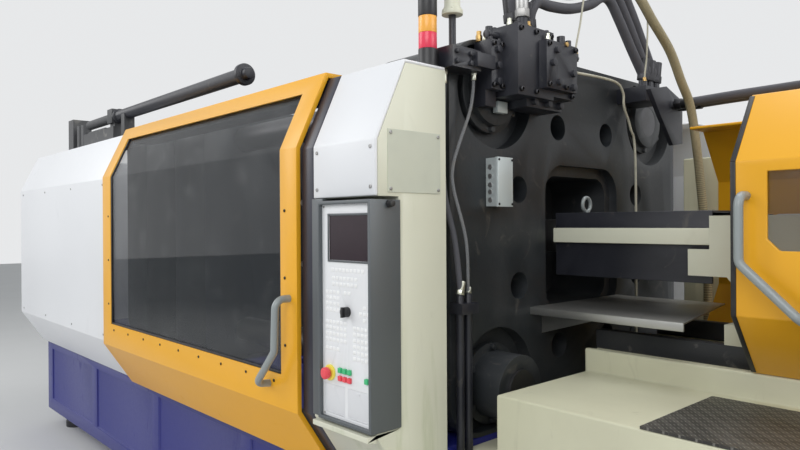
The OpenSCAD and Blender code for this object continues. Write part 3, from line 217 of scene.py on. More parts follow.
@dataclass(frozen=True)
class Finish:
    """One finish of the machine.

    Attributes:
        name: Material name.
        look: How the surface is made.
        tint: Main colour.
        shade: Colour of worn, dirty or shaded places.
        rough: Roughness of the clean surface.
        wear: How much of the shade shows, from 0 to 1.
        grain: Size factor of the fine relief.
        relief: Height of the fine relief in metres.
        stain: Colour of the streaks that run down, if any.
        glow: Emission strength of a lens.
    """

    name: str
    look: Look
    tint: Colour
    shade: Colour = (0.3, 0.3, 0.28)
    rough: float = 0.45
    wear: float = 0.3
    grain: float = 60.0
    relief: float = 0.0004
    stain: Colour | None = None
    glow: float = 0.0

    def material(self) -> Material:
        """Gives the material, made once."""
        known = bpy.data.materials.get(self.name)
        if known:
            return known
        sheet = NodeSheet(bpy.data.materials.new(self.name))
        return getattr(self, "_" + self.look.value)(sheet)

    def _paint(self, sheet: NodeSheet) -> Material:
        """Coated sheet with faint mottle, streaks and scuffs."""
        cloud = sheet.noise(1.6, 4.0)
        fine = sheet.noise(self.grain, 2.0)
        scuff = sheet.noise(9.0, 6.0, (1.0, 1.0, 0.35), 1.2).fade(0.62, 0.78)
        tint = sheet.blend(cloud.fade(0.35, 0.75) * (0.35 * self.wear), self.tint, self.shade)
        if self.stain:
            streak = sheet.noise(5.0, 5.0, (2.0, 2.0, 0.22), 0.6).fade(0.52, 0.8)
            low = sheet.noise(1.1, 2.0).fade(0.45, 0.7)
            tint = sheet.blend(streak * low * min(0.9, 2.0 * self.wear), tint, self.stain)
        tint = sheet.blend(scuff * (0.5 * self.wear), tint, self.shade)
        rough = fine * 0.1 + scuff * 0.22 + (self.rough - 0.05)
        return sheet.close({
            "Base Color": tint, "Roughness": rough, "Coat Weight": 0.12,
            "Coat Roughness": 0.2,
            "Normal": sheet.bump(fine + cloud * 0.5, 0.12, self.relief),
        })

    def _casting(self, sheet: NodeSheet) -> Material:
        """Painted casting: orange peel, oil film and rubbed places."""
        peel = sheet.noise(self.grain, 4.0)
        cloud = sheet.noise(2.2, 6.0, warp=0.8)
        rub = sheet.noise(7.0, 8.0, warp=1.5).fade(0.6, 0.72)
        speck = sheet.cells(160.0).fade(0.14, 0.04)
        tint = sheet.blend(cloud.fade(0.35, 0.7) * self.wear, self.tint, self.shade)
        tint = sheet.blend(rub * (0.55 * self.wear) + speck * 0.12, tint,
                           self.stain or (0.36, 0.34, 0.3))
        return sheet.close({
            "Base Color": tint,
            "Roughness": cloud * 0.35 + peel * 0.1 + (self.rough - 0.2),
            "Normal": sheet.bump(peel + cloud * 0.6, 0.35, self.relief * 3),
        })

    def _metal(self, sheet: NodeSheet) -> Material:
        """Bare metal with fine drawn lines and dull patches."""
        lines = sheet.noise(self.grain * 3, 2.0, (0.08, 1.0, 1.0))
        patch = sheet.noise(6.0, 5.0)
        tint = sheet.blend(patch.fade(0.4, 0.75) * self.wear, self.tint, self.shade)
        return sheet.close({
            "Base Color": tint, "Metallic": 1.0 - 0.45 * patch.fade(0.55, 0.85) * self.wear,
            "Roughness": lines * 0.12 + patch * 0.18 + (self.rough - 0.1),
            "Normal": sheet.bump(lines, 0.08, self.relief),
        })

    def _grimy(self, sheet: NodeSheet) -> Material:
        """Worn sheet metal, with old grime that thickens toward the mould."""
        lines = sheet.noise(self.grain * 3, 2.0, (0.1, 1.0, 1.0))
        blot = sheet.noise(6.0, 8.0, warp=1.2)
        rub = sheet.noise(2.5, 6.0, (0.5, 1.5, 1.0), 0.8).fade(0.45, 0.7)
        near = sheet.axis(0).fade(1.05, 0.45) * blot.fade(0.3, 0.55)
        tint = sheet.blend(rub, self.tint, self.shade)
        tint = sheet.blend(near * self.wear, tint, self.stain)
        return sheet.close({
            "Base Color": tint, "Metallic": 0.85 - near * 0.7,
            "Roughness": blot * 0.3 + lines * 0.1 + (self.rough - 0.1),
            "Normal": sheet.bump(lines + blot, 0.2, self.relief),
        })

    def _plastic(self, sheet: NodeSheet) -> Material:
        """Moulded plastic with a fine grain and finger marks."""
        grain = sheet.cells(self.grain * 14)
        film = sheet.noise(14.0, 4.0)
        tint = sheet.blend(film.fade(0.45, 0.75) * self.wear, self.tint, self.shade)
        return sheet.close({
            "Base Color": tint, "Roughness": film * 0.16 + (self.rough - 0.06),
            "Normal": sheet.bump(grain, 0.1, 0.0001),
        })

    def _pane(self, sheet: NodeSheet) -> Material:
        """Clear sheet with wipe marks and fine dust."""
        wipe = sheet.noise(2.0, 5.0, (1.0, 1.0, 0.5), 1.2)
        dust = sheet.noise(7.0, 8.0).fade(0.5, 0.8)
        return sheet.close({
            "Base Color": sheet.blend(dust * 0.25, self.tint, self.shade),
            "Roughness": wipe.fade(0.4, 0.8) * 0.05 + 0.02,
            "Alpha": wipe.fade(0.4, 0.85) * 0.05 + dust * 0.05 + self.wear,
            "IOR": 1.49, "Coat Weight": 0.6, "Coat Roughness": 0.02,
        })

    def _lens(self, sheet: NodeSheet) -> Material:
        """Coloured lens with upright ribs and a soft inner light."""
        lamp_x, lamp_y, ribs_round = 0.45, -0.988, 40.0
        angle = sheet.node("ShaderNodeMath", {"operation": "ARCTAN2"},
                           {0: sheet.axis(1) - lamp_y, 1: sheet.axis(0) - lamp_x})
        ribs = (angle * (ribs_round / math.tau)).wave()
        return sheet.close({
            "Base Color": sheet.blend(ribs.fade(-1.0, 1.0), self.shade, self.tint),
            "Roughness": ribs * 0.05 + 0.15, "Coat Weight": 0.5, "Coat Roughness": 0.08,
            "Emission Color": self.tint, "Emission Strength": self.glow,
            "Normal": sheet.bump(ribs, 0.4, 0.0008),
        })

    def _rubber(self, sheet: NodeSheet) -> Material:
        """Hose rubber with a cloth print and dust."""
        cloth = sheet.noise(220.0, 3.0)
        dust = sheet.noise(18.0, 6.0, warp=0.8)
        return sheet.close({
            "Base Color": sheet.blend(dust.fade(0.45, 0.8) * self.wear, self.tint, self.shade),
            "Roughness": cloth * 0.15 + self.rough,
            "Normal": sheet.bump(cloth + dust, 0.4, 0.0007),
        })

    def _braid(self, sheet: NodeSheet) -> Material:
        """Woven sleeve: two crossing sets of strands on the tube's own map."""
        flat = sheet.node("ShaderNodeUVMap", {"uv_map": "UVMap"})
        u = sheet.node("ShaderNodeSeparateXYZ", {}, {0: flat}, out=0)
        v = sheet.node("ShaderNodeSeparateXYZ", {}, {0: flat}, out=1)
        along, round_ = u * 260.0, v * 12.0
        weave = (along + round_).wave() * (along - round_).wave()
        old = sheet.noise(9.0, 5.0)
        tint = sheet.blend(weave.fade(-0.6, 0.5), self.shade, self.tint)
        return sheet.close({
            "Base Color": sheet.blend(old.fade(0.5, 0.8) * 0.5, tint, (0.24, 0.2, 0.13)),
            "Roughness": weave * 0.1 + self.rough,
            "Normal": sheet.bump(weave, 0.6, 0.0012),
        })

    def _chequer(self, sheet: NodeSheet) -> Material:
        """Tread plate: short bars in two directions, worn bright on top."""
        x, y = sheet.axis(0), sheet.axis(1)
        p, q = (x + y) * 22.0, (x - y) * 22.0
        bars = (p.wave().fade(0.1, 0.5) * (q * 3.0).wave().fade(0.5, 0.9)
                + (p * 3.0).wave().fade(0.5, 0.9) * q.wave().fade(-0.1, -0.5))
        dirt = sheet.noise(3.5, 7.0, warp=1.0)
        tint = sheet.blend(dirt.fade(0.35, 0.7), self.tint, self.shade)
        return sheet.close({
            "Base Color": sheet.blend(bars * 0.35, tint, (0.5, 0.48, 0.44)),
            "Metallic": 0.35 + bars * 0.3, "Roughness": dirt * 0.3 + 0.35 - bars * 0.1,
            "Normal": sheet.bump(bars, 0.8, 0.002),
        })

    def _marked(self, sheet: NodeSheet) -> Material:
        """Printed surface with small plain marks that spell nothing."""
        marks = sheet.cells(150.0).fade(0.2, 0.12)
        printed = sheet.noise(55.0, 2.0).fade(0.5, 0.56)
        film = sheet.noise(12.0, 4.0)
        tint = sheet.blend(film.fade(0.4, 0.8) * 0.2, self.tint, self.shade)
        return sheet.close({
            "Base Color": sheet.blend(marks * printed * self.wear, tint, (0.12, 0.12, 0.14)),
            "Roughness": film * 0.15 + self.rough,
            "Normal": sheet.bump(film, 0.1, 0.0002),
        })


ORANGE = Finish("orange_paint", Look.PAINT, (0.86, 0.42, 0.012), (0.62, 0.3, 0.02), 0.38, 0.3)
WHITE = Finish("white_paint", Look.PAINT, (0.78, 0.79, 0.81), (0.6, 0.61, 0.62), 0.42, 0.25)
CREAM = Finish("cream_paint", Look.PAINT, (0.69, 0.69, 0.56), (0.5, 0.5, 0.38), 0.42, 0.5,
               stain=(0.40, 0.45, 0.25))
BASE_CREAM = Finish("base_cream", Look.PAINT, (0.66, 0.65, 0.48), (0.36, 0.34, 0.24), 0.5, 0.8,
                    stain=(0.3, 0.28, 0.2))
BLUE = Finish("base_blue", Look.PAINT, (0.014, 0.018, 0.19), (0.04, 0.045, 0.14), 0.4, 0.6)
IRON = Finish("platen_iron", Look.CASTING, (0.017, 0.020, 0.023), (0.042, 0.044, 0.046), 0.42, 0.7,
              grain=90.0, stain=(0.12, 0.11, 0.095))
BLOCK = Finish("valve_black", Look.CASTING, (0.013, 0.014, 0.020), (0.032, 0.033, 0.042), 0.38,
               0.7, grain=140.0, stain=(0.12, 0.11, 0.09))
RAIL = Finish("rail_paint", Look.CASTING, (0.03, 0.032, 0.036), (0.07, 0.07, 0.07), 0.5, 0.5)
DARK = Finish("edge_dark", Look.PAINT, (0.014, 0.015, 0.03), (0.05, 0.05, 0.06), 0.4, 0.3)
PANEL = Finish("panel_black", Look.PAINT, (0.018, 0.02, 0.024), (0.05, 0.05, 0.05), 0.45, 0.4)
FASCIA = Finish("fascia_grey", Look.PLASTIC, (0.4, 0.42, 0.46), (0.3, 0.32, 0.35), 0.45, 0.35)
DOOR = Finish("door_grey", Look.PLASTIC, (0.42, 0.43, 0.46), (0.33, 0.34, 0.36), 0.45, 0.35)
SCREEN = Finish("screen", Look.PLASTIC, (0.022, 0.01, 0.016), (0.04, 0.02, 0.03), 0.16, 0.5)
KEYS = Finish("key_white", Look.MARKED, (0.68, 0.7, 0.72), (0.5, 0.5, 0.52), 0.4, 1.0)
BLACK = Finish("plain_black", Look.PLASTIC, (0.015, 0.015, 0.017), (0.05, 0.05, 0.05), 0.4, 0.4)
RED = Finish("button_red", Look.PLASTIC, (0.6, 0.012, 0.02), (0.42, 0.01, 0.02), 0.3, 0.4)
GREEN = Finish("key_green", Look.PLASTIC, (0.01, 0.2, 0.05), (0.01, 0.14, 0.04), 0.35, 0.4)
YELLOW = Finish("collar_yellow", Look.PLASTIC, (0.8, 0.55, 0.01), (0.6, 0.4, 0.02), 0.35, 0.4)
RED_LENS = Finish("lens_red", Look.LENS, (0.62, 0.008, 0.02), (0.3, 0.0, 0.01), glow=0.12)
AMBER_LENS = Finish("lens_amber", Look.LENS, (0.85, 0.2, 0.012), (0.5, 0.08, 0.0), glow=0.15)
CHROME = Finish("chrome", Look.METAL, (0.72, 0.73, 0.76), (0.5, 0.5, 0.5), 0.18, 0.3)
BAR = Finish("bar_steel", Look.METAL, (0.12, 0.12, 0.125), (0.07, 0.065, 0.06), 0.4, 0.4)
STEEL = Finish("steel", Look.METAL, (0.42, 0.42, 0.42), (0.22, 0.21, 0.19), 0.38, 0.5)
TRAY = Finish("tray_steel", Look.GRIMY, (0.2, 0.2, 0.19), (0.09, 0.085, 0.075), 0.45, 0.9,
              stain=(0.1, 0.1, 0.05))
HANDLE = Finish("handle_tube", Look.PAINT, (0.3, 0.33, 0.33), (0.22, 0.24, 0.23), 0.35, 0.4)
ZINC = Finish("fitting_zinc", Look.METAL, (0.6, 0.61, 0.52), (0.4, 0.4, 0.33), 0.32, 0.5)
BRASS = Finish("fitting_brass", Look.METAL, (0.5, 0.33, 0.13), (0.25, 0.17, 0.08), 0.35, 0.6)
BOLT = Finish("bolt_black", Look.METAL, (0.06, 0.06, 0.065), (0.03, 0.03, 0.03), 0.4, 0.5)
BOX = Finish("box_grey", Look.PAINT, (0.4, 0.47, 0.48), (0.3, 0.34, 0.34), 0.4, 0.4)
PLATE = Finish("plate_bare", Look.MARKED, (0.58, 0.6, 0.5), (0.45, 0.47, 0.4), 0.3, 0.0)
PANE = Finish("pane", Look.PANE, (0.03, 0.036, 0.042), (0.3, 0.3, 0.3), wear=0.3)
RUBBER = Finish("hose_rubber", Look.RUBBER, (0.012, 0.012, 0.013), (0.05, 0.05, 0.05), 0.5, 0.5)
BRAIDED = Finish("hose_braid", Look.BRAID, (0.46, 0.4, 0.24), (0.16, 0.13, 0.07), 0.55)
WIRE = Finish("hose_wire", Look.BRAID, (0.3, 0.31, 0.33), (0.1, 0.1, 0.1), 0.45)
CABLE = Finish("cable_cream", Look.RUBBER, (0.5, 0.48, 0.38), (0.3, 0.28, 0.2), 0.5, 0.5)
TREAD = Finish("tread_plate", Look.CHEQUER, (0.035, 0.033, 0.03), (0.09, 0.085, 0.075))


def deselect() -> None:
    """Clears the selection, so that an operator acts on nothing by chance."""
    for obj in list(bpy.context.selected_objects):
        obj.select_set(False)


def activate(obj: Piece) -> None:
    """Makes an object the only selected one and the active one."""
    deselect()
    obj.select_set(True)
    bpy.context.view_layer.objects.active = obj


def flatten(obj: Piece) -> None:
    """Moves an object's place into its mesh."""
    activate(obj)
    bpy.ops.object.transform_apply(location=True, rotation=True, scale=True)


def apply_modifier(obj: Piece, kind: str, **settings: object) -> None:
    """Adds a modifier and applies it.

    Args:
        obj: The object that gets it.
        kind: Modifier type.
        settings: The modifier's own settings.
    """
    activate(obj)
    modifier = obj.modifiers.new(kind.title(), kind)
    for key, value in settings.items():
        setattr(modifier, key, value)
    bpy.ops.object.modifier_apply(modifier=modifier.name)


def smooth(obj: Piece, degrees: float = 32.0) -> None:
    """Shades an object smooth up to an angle."""
    activate(obj)
    bpy.ops.object.shade_smooth_by_angle(angle=math.radians(degrees))


def dress(obj: Piece, name: str, finish: Finish, body: str = "machine") -> Piece:
    """Names a finished piece, gives its material and rides it on a body.

    Args:
        obj: The piece.
        name: Its name.
        finish: The finish it gets.
        body: The body it moves with.

    Returns:
        The same piece.
    """
    obj.name = name
    obj.data.name = name
    obj.data.materials.clear()
    obj.data.materials.append(finish.material())
    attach(obj, body)
    log.info("piece %s: %d vertices, %s", name, len(obj.data.vertices), finish.name)
    return obj


def block(low: Point, high: Point, bevel: float = 0.0, segments: int = 2) -> Piece:
    """A block between two corners with rounded edges."""
    deselect()
    centre = [(a + b) / 2 for a, b in zip(low, high)]
    bpy.ops.mesh.primitive_cube_add(size=1.0, location=centre)
    obj = bpy.context.object
    obj.scale = [b - a for a, b in zip(low, high)]
    flatten(obj)
    if bevel:
        apply_modifier(obj, "BEVEL", width=bevel, segments=segments, limit_method="ANGLE")
    return obj


def leaning_bar(low: Point, high: Point, fold: float = 0.0, slope: float = 0.0) -> Piece:
    """Rounded strip that leans back from a fold, as the sheet does that it lies on.

    Args:
        low: Its lower corner before it leans.
        high: Its upper corner.
        fold: Height of the fold.
        slope: How far it goes back for each metre away from the fold.

    Returns:
        The strip.
    """
    bar = block(low, high, 0.002)
    for vertex in bar.data.vertices:
        vertex.co.y += (vertex.co.z - fold) * slope
    return bar


def disc(radius: float, height: float, sides: int = 24, bevel: float = 0.0) -> Piece:
    """A round of some height standing on the origin, with broken edges."""
    deselect()
    bpy.ops.mesh.primitive_cylinder_add(vertices=sides, radius=radius, depth=height,
                                        location=(0.0, 0.0, height / 2))
    obj = bpy.context.object
    flatten(obj)
    if bevel:
        apply_modifier(obj, "BEVEL", width=bevel, segments=2, limit_method="ANGLE")
    return obj


def join(parts: Sequence[Piece]) -> Piece:
    """Joins parts into the first of them."""
    deselect()
    for part in parts:
        part.select_set(True)
    bpy.context.view_layer.objects.active = parts[0]
    if len(parts) > 1:
        bpy.ops.object.join()
    return parts[0]


def copies(model: Piece, places: Iterable[Matrix]) -> Piece:
    """Copies a modelled part to many places, each copy with its own mesh, as one piece.

    Args:
        model: The part, standing at the origin along +Z. It is removed.
        places: One matrix for each copy.

    Returns:
        The joined copies.
    """
    made = []
    for place in places:
        mesh = model.data.copy()
        mesh.transform(place)
        copy = bpy.data.objects.new("copy", mesh)
        bpy.context.collection.objects.link(copy)
        made.append(copy)
    bpy.data.objects.remove(model)
    return join(made)


def facing(axis: Point, spots: Iterable[Point]) -> list[Matrix]:
    """Places of parts that stand at some spots along one axis."""
    turn = Vector(UP).rotation_difference(Vector(axis)).to_matrix().to_4x4()
    return [Matrix.Translation(spot) @ turn for spot in spots]


def screw_head(radius: float, height: float, edge: float, rim: float, depth: float) -> Piece:
    """Round screw head with its middle sunk in.

    Args:
        radius: Its radius.
        height: Its height.
        edge: Rounding of its edge, as a share of the radius.
        rim: Width of the rim round the middle, as a share of the radius.
        depth: Depth of the middle, as a share of the height.

    Returns:
        The head, standing on the origin.
    """
    obj = disc(radius, height, 20, radius * edge)
    for part in (*obj.data.vertices, *obj.data.edges):
        part.select = False
    for face in obj.data.polygons:
        face.select = face.normal.z > 0.9 and face.center.z > height * 0.9
    activate(obj)
    bpy.ops.object.mode_set(mode="EDIT")
    bpy.ops.mesh.select_mode(type="FACE")
    bpy.ops.mesh.inset(thickness=radius * rim)
    bpy.ops.mesh.extrude_region_move(
        TRANSFORM_OT_translate={"value": (0.0, 0.0, -height * depth)})
    bpy.ops.object.mode_set(mode="OBJECT")
    smooth(obj)
    return obj


def socket_screw(radius: float, height: float) -> Piece:
    """Cap screw head with a round socket."""
    return screw_head(radius, height, 0.12, 0.42, 0.6)


def pan_screw(radius: float, height: float) -> Piece:
    """Low domed screw head, a little dished."""
    return screw_head(radius, height, 0.3, 0.3, 0.35)


def ring(centre: Point, radius: float, wire: float, steps: int, turn: Point) -> Piece:
    """Ring of round wire, as on an eye bolt."""
    deselect()
    bpy.ops.mesh.primitive_torus_add(major_radius=radius, minor_radius=wire,
                                     major_segments=steps, minor_segments=14,
                                     location=centre, rotation=turn)
    obj = bpy.context.object
    flatten(obj)
    return obj


def hex_nut(radius: float, height: float) -> Piece:
    """Six-sided fitting with a turned collar on top."""
    hexagon = disc(radius, height * 0.6, 6, radius * 0.06)
    collar = disc(radius * 0.74, height, 20, radius * 0.1)
    obj = join([hexagon, collar])
    smooth(obj)
    return obj


def curve_points(route: Sequence[Point], steps: int) -> list[Vector]:
    """Points of the smooth curve through a route, as the CAD model draws it.

    Args:
        route: The points that the curve passes, in millimetres.
        steps: Stretches between two of them.

    Returns:
        Points in metres.
    """
    p = [Vector(q) / 1000 for q in route]
    points = []
    for k in range((len(p) - 1) * steps + 1):
        i = min(k // steps, len(p) - 2)
        u = k / steps - i
        a, b, c, d = p[max(i - 1, 0)], p[i], p[i + 1], p[min(i + 2, len(p) - 1)]
        points.append(0.5 * (2 * b + (c - a) * u + (2 * a - 5 * b + 4 * c - d) * u * u
                             + (3 * b - a - 3 * c + d) * u * u * u))
    return points


def tube(points: Sequence[Vector], radius: float, sides: int = 4) -> Piece:
    """Round tube along points, made as a curve and turned into a mesh."""
    deselect()
    curve = bpy.data.curves.new("tube", "CURVE")
    curve.dimensions = "3D"
    curve.bevel_depth = radius
    curve.bevel_resolution = sides
    curve.use_fill_caps = True
    line = curve.splines.new("POLY")
    line.points.add(len(points) - 1)
    for point, spot in zip(line.points, points):
        point.co = (*spot, 1.0)
    obj = bpy.data.objects.new("tube", curve)
    bpy.context.collection.objects.link(obj)
    activate(obj)
    bpy.ops.object.convert(target="MESH")
    obj = bpy.context.object
    smooth(obj, 50.0)
    return obj


def bent_tube(corners: Sequence[Point], radius: float, bend: float, steps: int = 8) -> Piece:
    """Round tube whose corners are rounded as in a bent pipe.

    Args:
        corners: Where its middle line would turn if it weren't rounded.
        radius: Its radius.
        bend: Radius of a bend at the middle line.
        steps: Stretches in one bend.

    Returns:
        The tube.
    """
    spots = [Vector(corner) for corner in corners]
    points = [spots[0]]
    for a, b, c in zip(spots, spots[1:], spots[2:]):
        back, ahead = (a - b).normalized(), (c - b).normalized()
        half = back.angle(ahead) / 2
        middle = b + (back + ahead).normalized() * bend / math.sin(half)
        start = b + back * bend / math.tan(half) - middle
        end = b + ahead * bend / math.tan(half) - middle
        swing = start.angle(end)
        for k in range(steps + 1):
            turned = (start * math.sin((1 - k / steps) * swing)
                      + end * math.sin(k / steps * swing)) / math.sin(swing)
            points.append(middle + turned)
    return tube(points + [spots[-1]], radius, 6)


def handle(node: str, corners: Sequence[Point], body: str) -> None:
    """Bent tube handle that stands for a CAD node's plainer one.

    Args:
        node: The CAD node.
        corners: Corners of its middle line.
        body: The body it moves with.
    """
    piece = bent_tube(corners, radius=0.014, bend=0.036)
    dress(piece, node + "_form", HANDLE, body)
    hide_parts(node)


def refined(node: str, finish: Finish, bevel: float, segments: int = 2,
            degrees: float = 30.0, body: str = "machine") -> None:
    """Rounds the edges of a CAD node on a copy of its mesh, which then stands for it.

    Args:
        node: The CAD node.
        finish: The finish the copy gets.
        bevel: Width of the rounding.
        segments: Steps in the rounding.
        degrees: Edges sharper than this are rounded.
        body: The body it moves with.
    """
    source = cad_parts[node]
    obj = bpy.data.objects.new(node + "_form", source.data.copy())
    bpy.context.collection.objects.link(obj)
    obj.matrix_world = source.matrix_world.copy()
    flatten(obj)
    bpy.ops.object.mode_set(mode="EDIT")
    bpy.ops.mesh.select_all(action="SELECT")
    bpy.ops.mesh.remove_doubles(threshold=MERGE)
    bpy.ops.mesh.dissolve_limited(angle_limit=math.radians(FLAT_DEGREES))
    bpy.ops.object.mode_set(mode="OBJECT")
    apply_modifier(obj, "BEVEL", width=bevel, segments=segments, limit_method="ANGLE",
                   angle_limit=math.radians(degrees), harden_normals=False)
    smooth(obj, SHADE_DEGREES)
    dress(obj, node + "_form", finish, body)
    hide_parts(node)


def paint(finish: Finish, *nodes: str) -> None:
    """Gives CAD nodes whose shapes are right a better material."""
    for node in nodes:
        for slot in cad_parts[node].material_slots:
            slot.material = finish.material()
        log.info("node %s: %s", node, finish.name)


@dataclass
class Studio:
    """Camera, pale floor and soft light."""

    eye: Point = (2.150, -2.676, 1.600)
    turn: float = 42.35
    pitch: float = -0.13
    roll: float = -0.34
    focal: float = 673.7
    reach: float = 100.0
    frame_width: float = 800.0
    sensor: float = 36.0
    floor_size: float = 60.0
    floor_tints: tuple[Colour, Colour] = ((0.6, 0.6, 0.59), (0.66, 0.66, 0.65))
    sky_light: tuple[Colour, float] = ((0.9, 0.95, 1.0), 0.42)
    backdrop: tuple[Colour, float] = ((0.8, 0.81, 0.82), 1.0)
    lamps: tuple[tuple[Point, Point, float, float], ...] = (
        ((4.5, -7.5, 6.0), (0.0, -0.5, 1.2), 6.0, 330.0),
        ((-6.5, -6.5, 5.5), (-1.0, 0.0, 1.2), 6.0, 300.0),
        ((1.0, 1.5, 7.5), (0.3, 0.0, 1.0), 6.0, 260.0),
        ((6.5, 1.5, 4.0), (1.0, 0.0, 1.4), 4.0, 130.0),
    )

    def build(self) -> None:
        """Sets the camera, the floor, the lamps and the world."""
        self._camera()
        self._floor()
        for number, lamp in enumerate(self.lamps):
            self._lamp(number, *lamp)
        self._world()
        bpy.context.scene.view_settings.view_transform = "Standard"

    def _camera(self) -> None:
        """Places the camera as solved from the machine's straight edges."""
        th, p, r = (math.radians(v) for v in (self.turn, self.pitch, self.roll))
        ahead = Vector((-math.cos(th) * math.cos(p), math.sin(th) * math.cos(p), math.sin(p)))
        right = ahead.cross(Vector(UP)).normalized()
        up = right.cross(ahead)
        rolled = right * math.cos(r) + up * math.sin(r)
        upright = -right * math.sin(r) + up * math.cos(r)
        data = bpy.data.cameras.new("photo_camera")
        data.sensor_width = self.sensor
        data.lens = self.focal / self.frame_width * self.sensor
        data.clip_end = self.reach
        camera = bpy.data.objects.new("photo_camera", data)
        bpy.context.collection.objects.link(camera)
        axes = Matrix((rolled, upright, -ahead)).transposed().to_4x4()
        camera.matrix_world = Matrix.Translation(self.eye) @ axes
        bpy.context.scene.camera = camera

    def _floor(self) -> None:
        """Lays the pale floor."""
        deselect()
        bpy.ops.mesh.primitive_plane_add(size=self.floor_size, location=(0.0, 0.0, 0.0))
        floor = bpy.context.object
        floor.name = "floor"
        sheet = NodeSheet(bpy.data.materials.new("floor_pale"))
        floor.data.materials.append(sheet.close({
            "Base Color": sheet.blend(sheet.noise(0.8, 4.0), *self.floor_tints),
            "Roughness": 0.7}))

    def _lamp(self, number: int, spot: Point, target: Point, size: float, watts: float) -> None:
        """Adds one large soft lamp aimed at a target."""
        data = bpy.data.lights.new(f"soft_{number}", "AREA")
        data.shape = "DISK"
        data.size = size
        data.energy = watts
        lamp = bpy.data.objects.new(f"soft_{number}", data)
        bpy.context.collection.objects.link(lamp)
        lamp.matrix_world = Matrix.Translation(spot) @ (
            (Vector(target) - Vector(spot)).to_track_quat("-Z", "Y").to_matrix().to_4x4())

    def _world(self) -> None:
        """Sets an even world light, and a pale background for all that looks straight at it."""
        world = bpy.data.worlds.new("studio")
        bpy.context.scene.world = world
        sheet = NodeSheet(world)
        seen: Sock | float = 0.0
        for ray in ("Camera", "Glossy", "Transmission"):
            path = sheet.node("ShaderNodeLightPath", out=f"Is {ray} Ray")
            seen = sheet.node("ShaderNodeMath", {"operation": "ADD", "use_clamp": True},
                              {0: seen, 1: path})
        light, pale = (sheet.node("ShaderNodeBackground", {}, {"Color": tint, "Strength": power})
                       for tint, power in (self.sky_light, self.backdrop))
        mix = sheet.node("ShaderNodeMixShader", {}, {0: seen, 1: light, 2: pale})
        sheet.node("ShaderNodeOutputWorld", {}, {"Surface": mix})


@dataclass
class HoseRun:
    """One hose or cable between two places.

    Attributes:
        name: Piece name.
        radius: Outer radius.
        route: Points that it passes, in millimetres.
        steps: Stretches between two points.
        finish: Its finish.
        fittings: Radius factor of the end fittings, or 0 for none.
        metal: Finish of the end fittings.
        nut: Radius of a fitting's nut against the fitting, and its height in hose radii.
        ferrule: The same for its ferrule.
    """

    name: str
    radius: float
    route: Sequence[Point]
    steps: int
    finish: Finish
    fittings: float = 1.25
    metal: Finish = STEEL
    nut: tuple[float, float] = (1.12, 2.6)
    ferrule: tuple[float, float] = (0.96, 4.6)

    def build(self) -> Piece:
        points = curve_points(self.route, self.steps * 3)
        hose = tube(points, self.radius, 5)
        dress(hose, self.name, self.finish)
        length = sum((b - a).length for a, b in zip(points, points[1:]))
        riders = []
        if self.fittings:
            riders = [self._fitting(points[0], points[3], "start"),
                      self._fitting(points[-1], points[-4], "end")]
        2 * self.radius
        log.info("hose %s: %.2f m long", self.name, length)
        return hose

    def _fitting(self, end: Vector, inner: Vector, word: str) -> Piece:
        """Hexagon nut and ferrule at one end."""
        r = self.radius * self.fittings
        nut = hex_nut(r * self.nut[0], self.radius * self.nut[1])
        ferrule = disc(r * self.ferrule[0], self.radius * self.ferrule[1], 20, r * 0.1)
        smooth(ferrule)
        piece = copies(join([nut, ferrule]), facing((inner - end).normalized(), [end]))
        return dress(piece, f"{self.name}_{word}", self.metal)


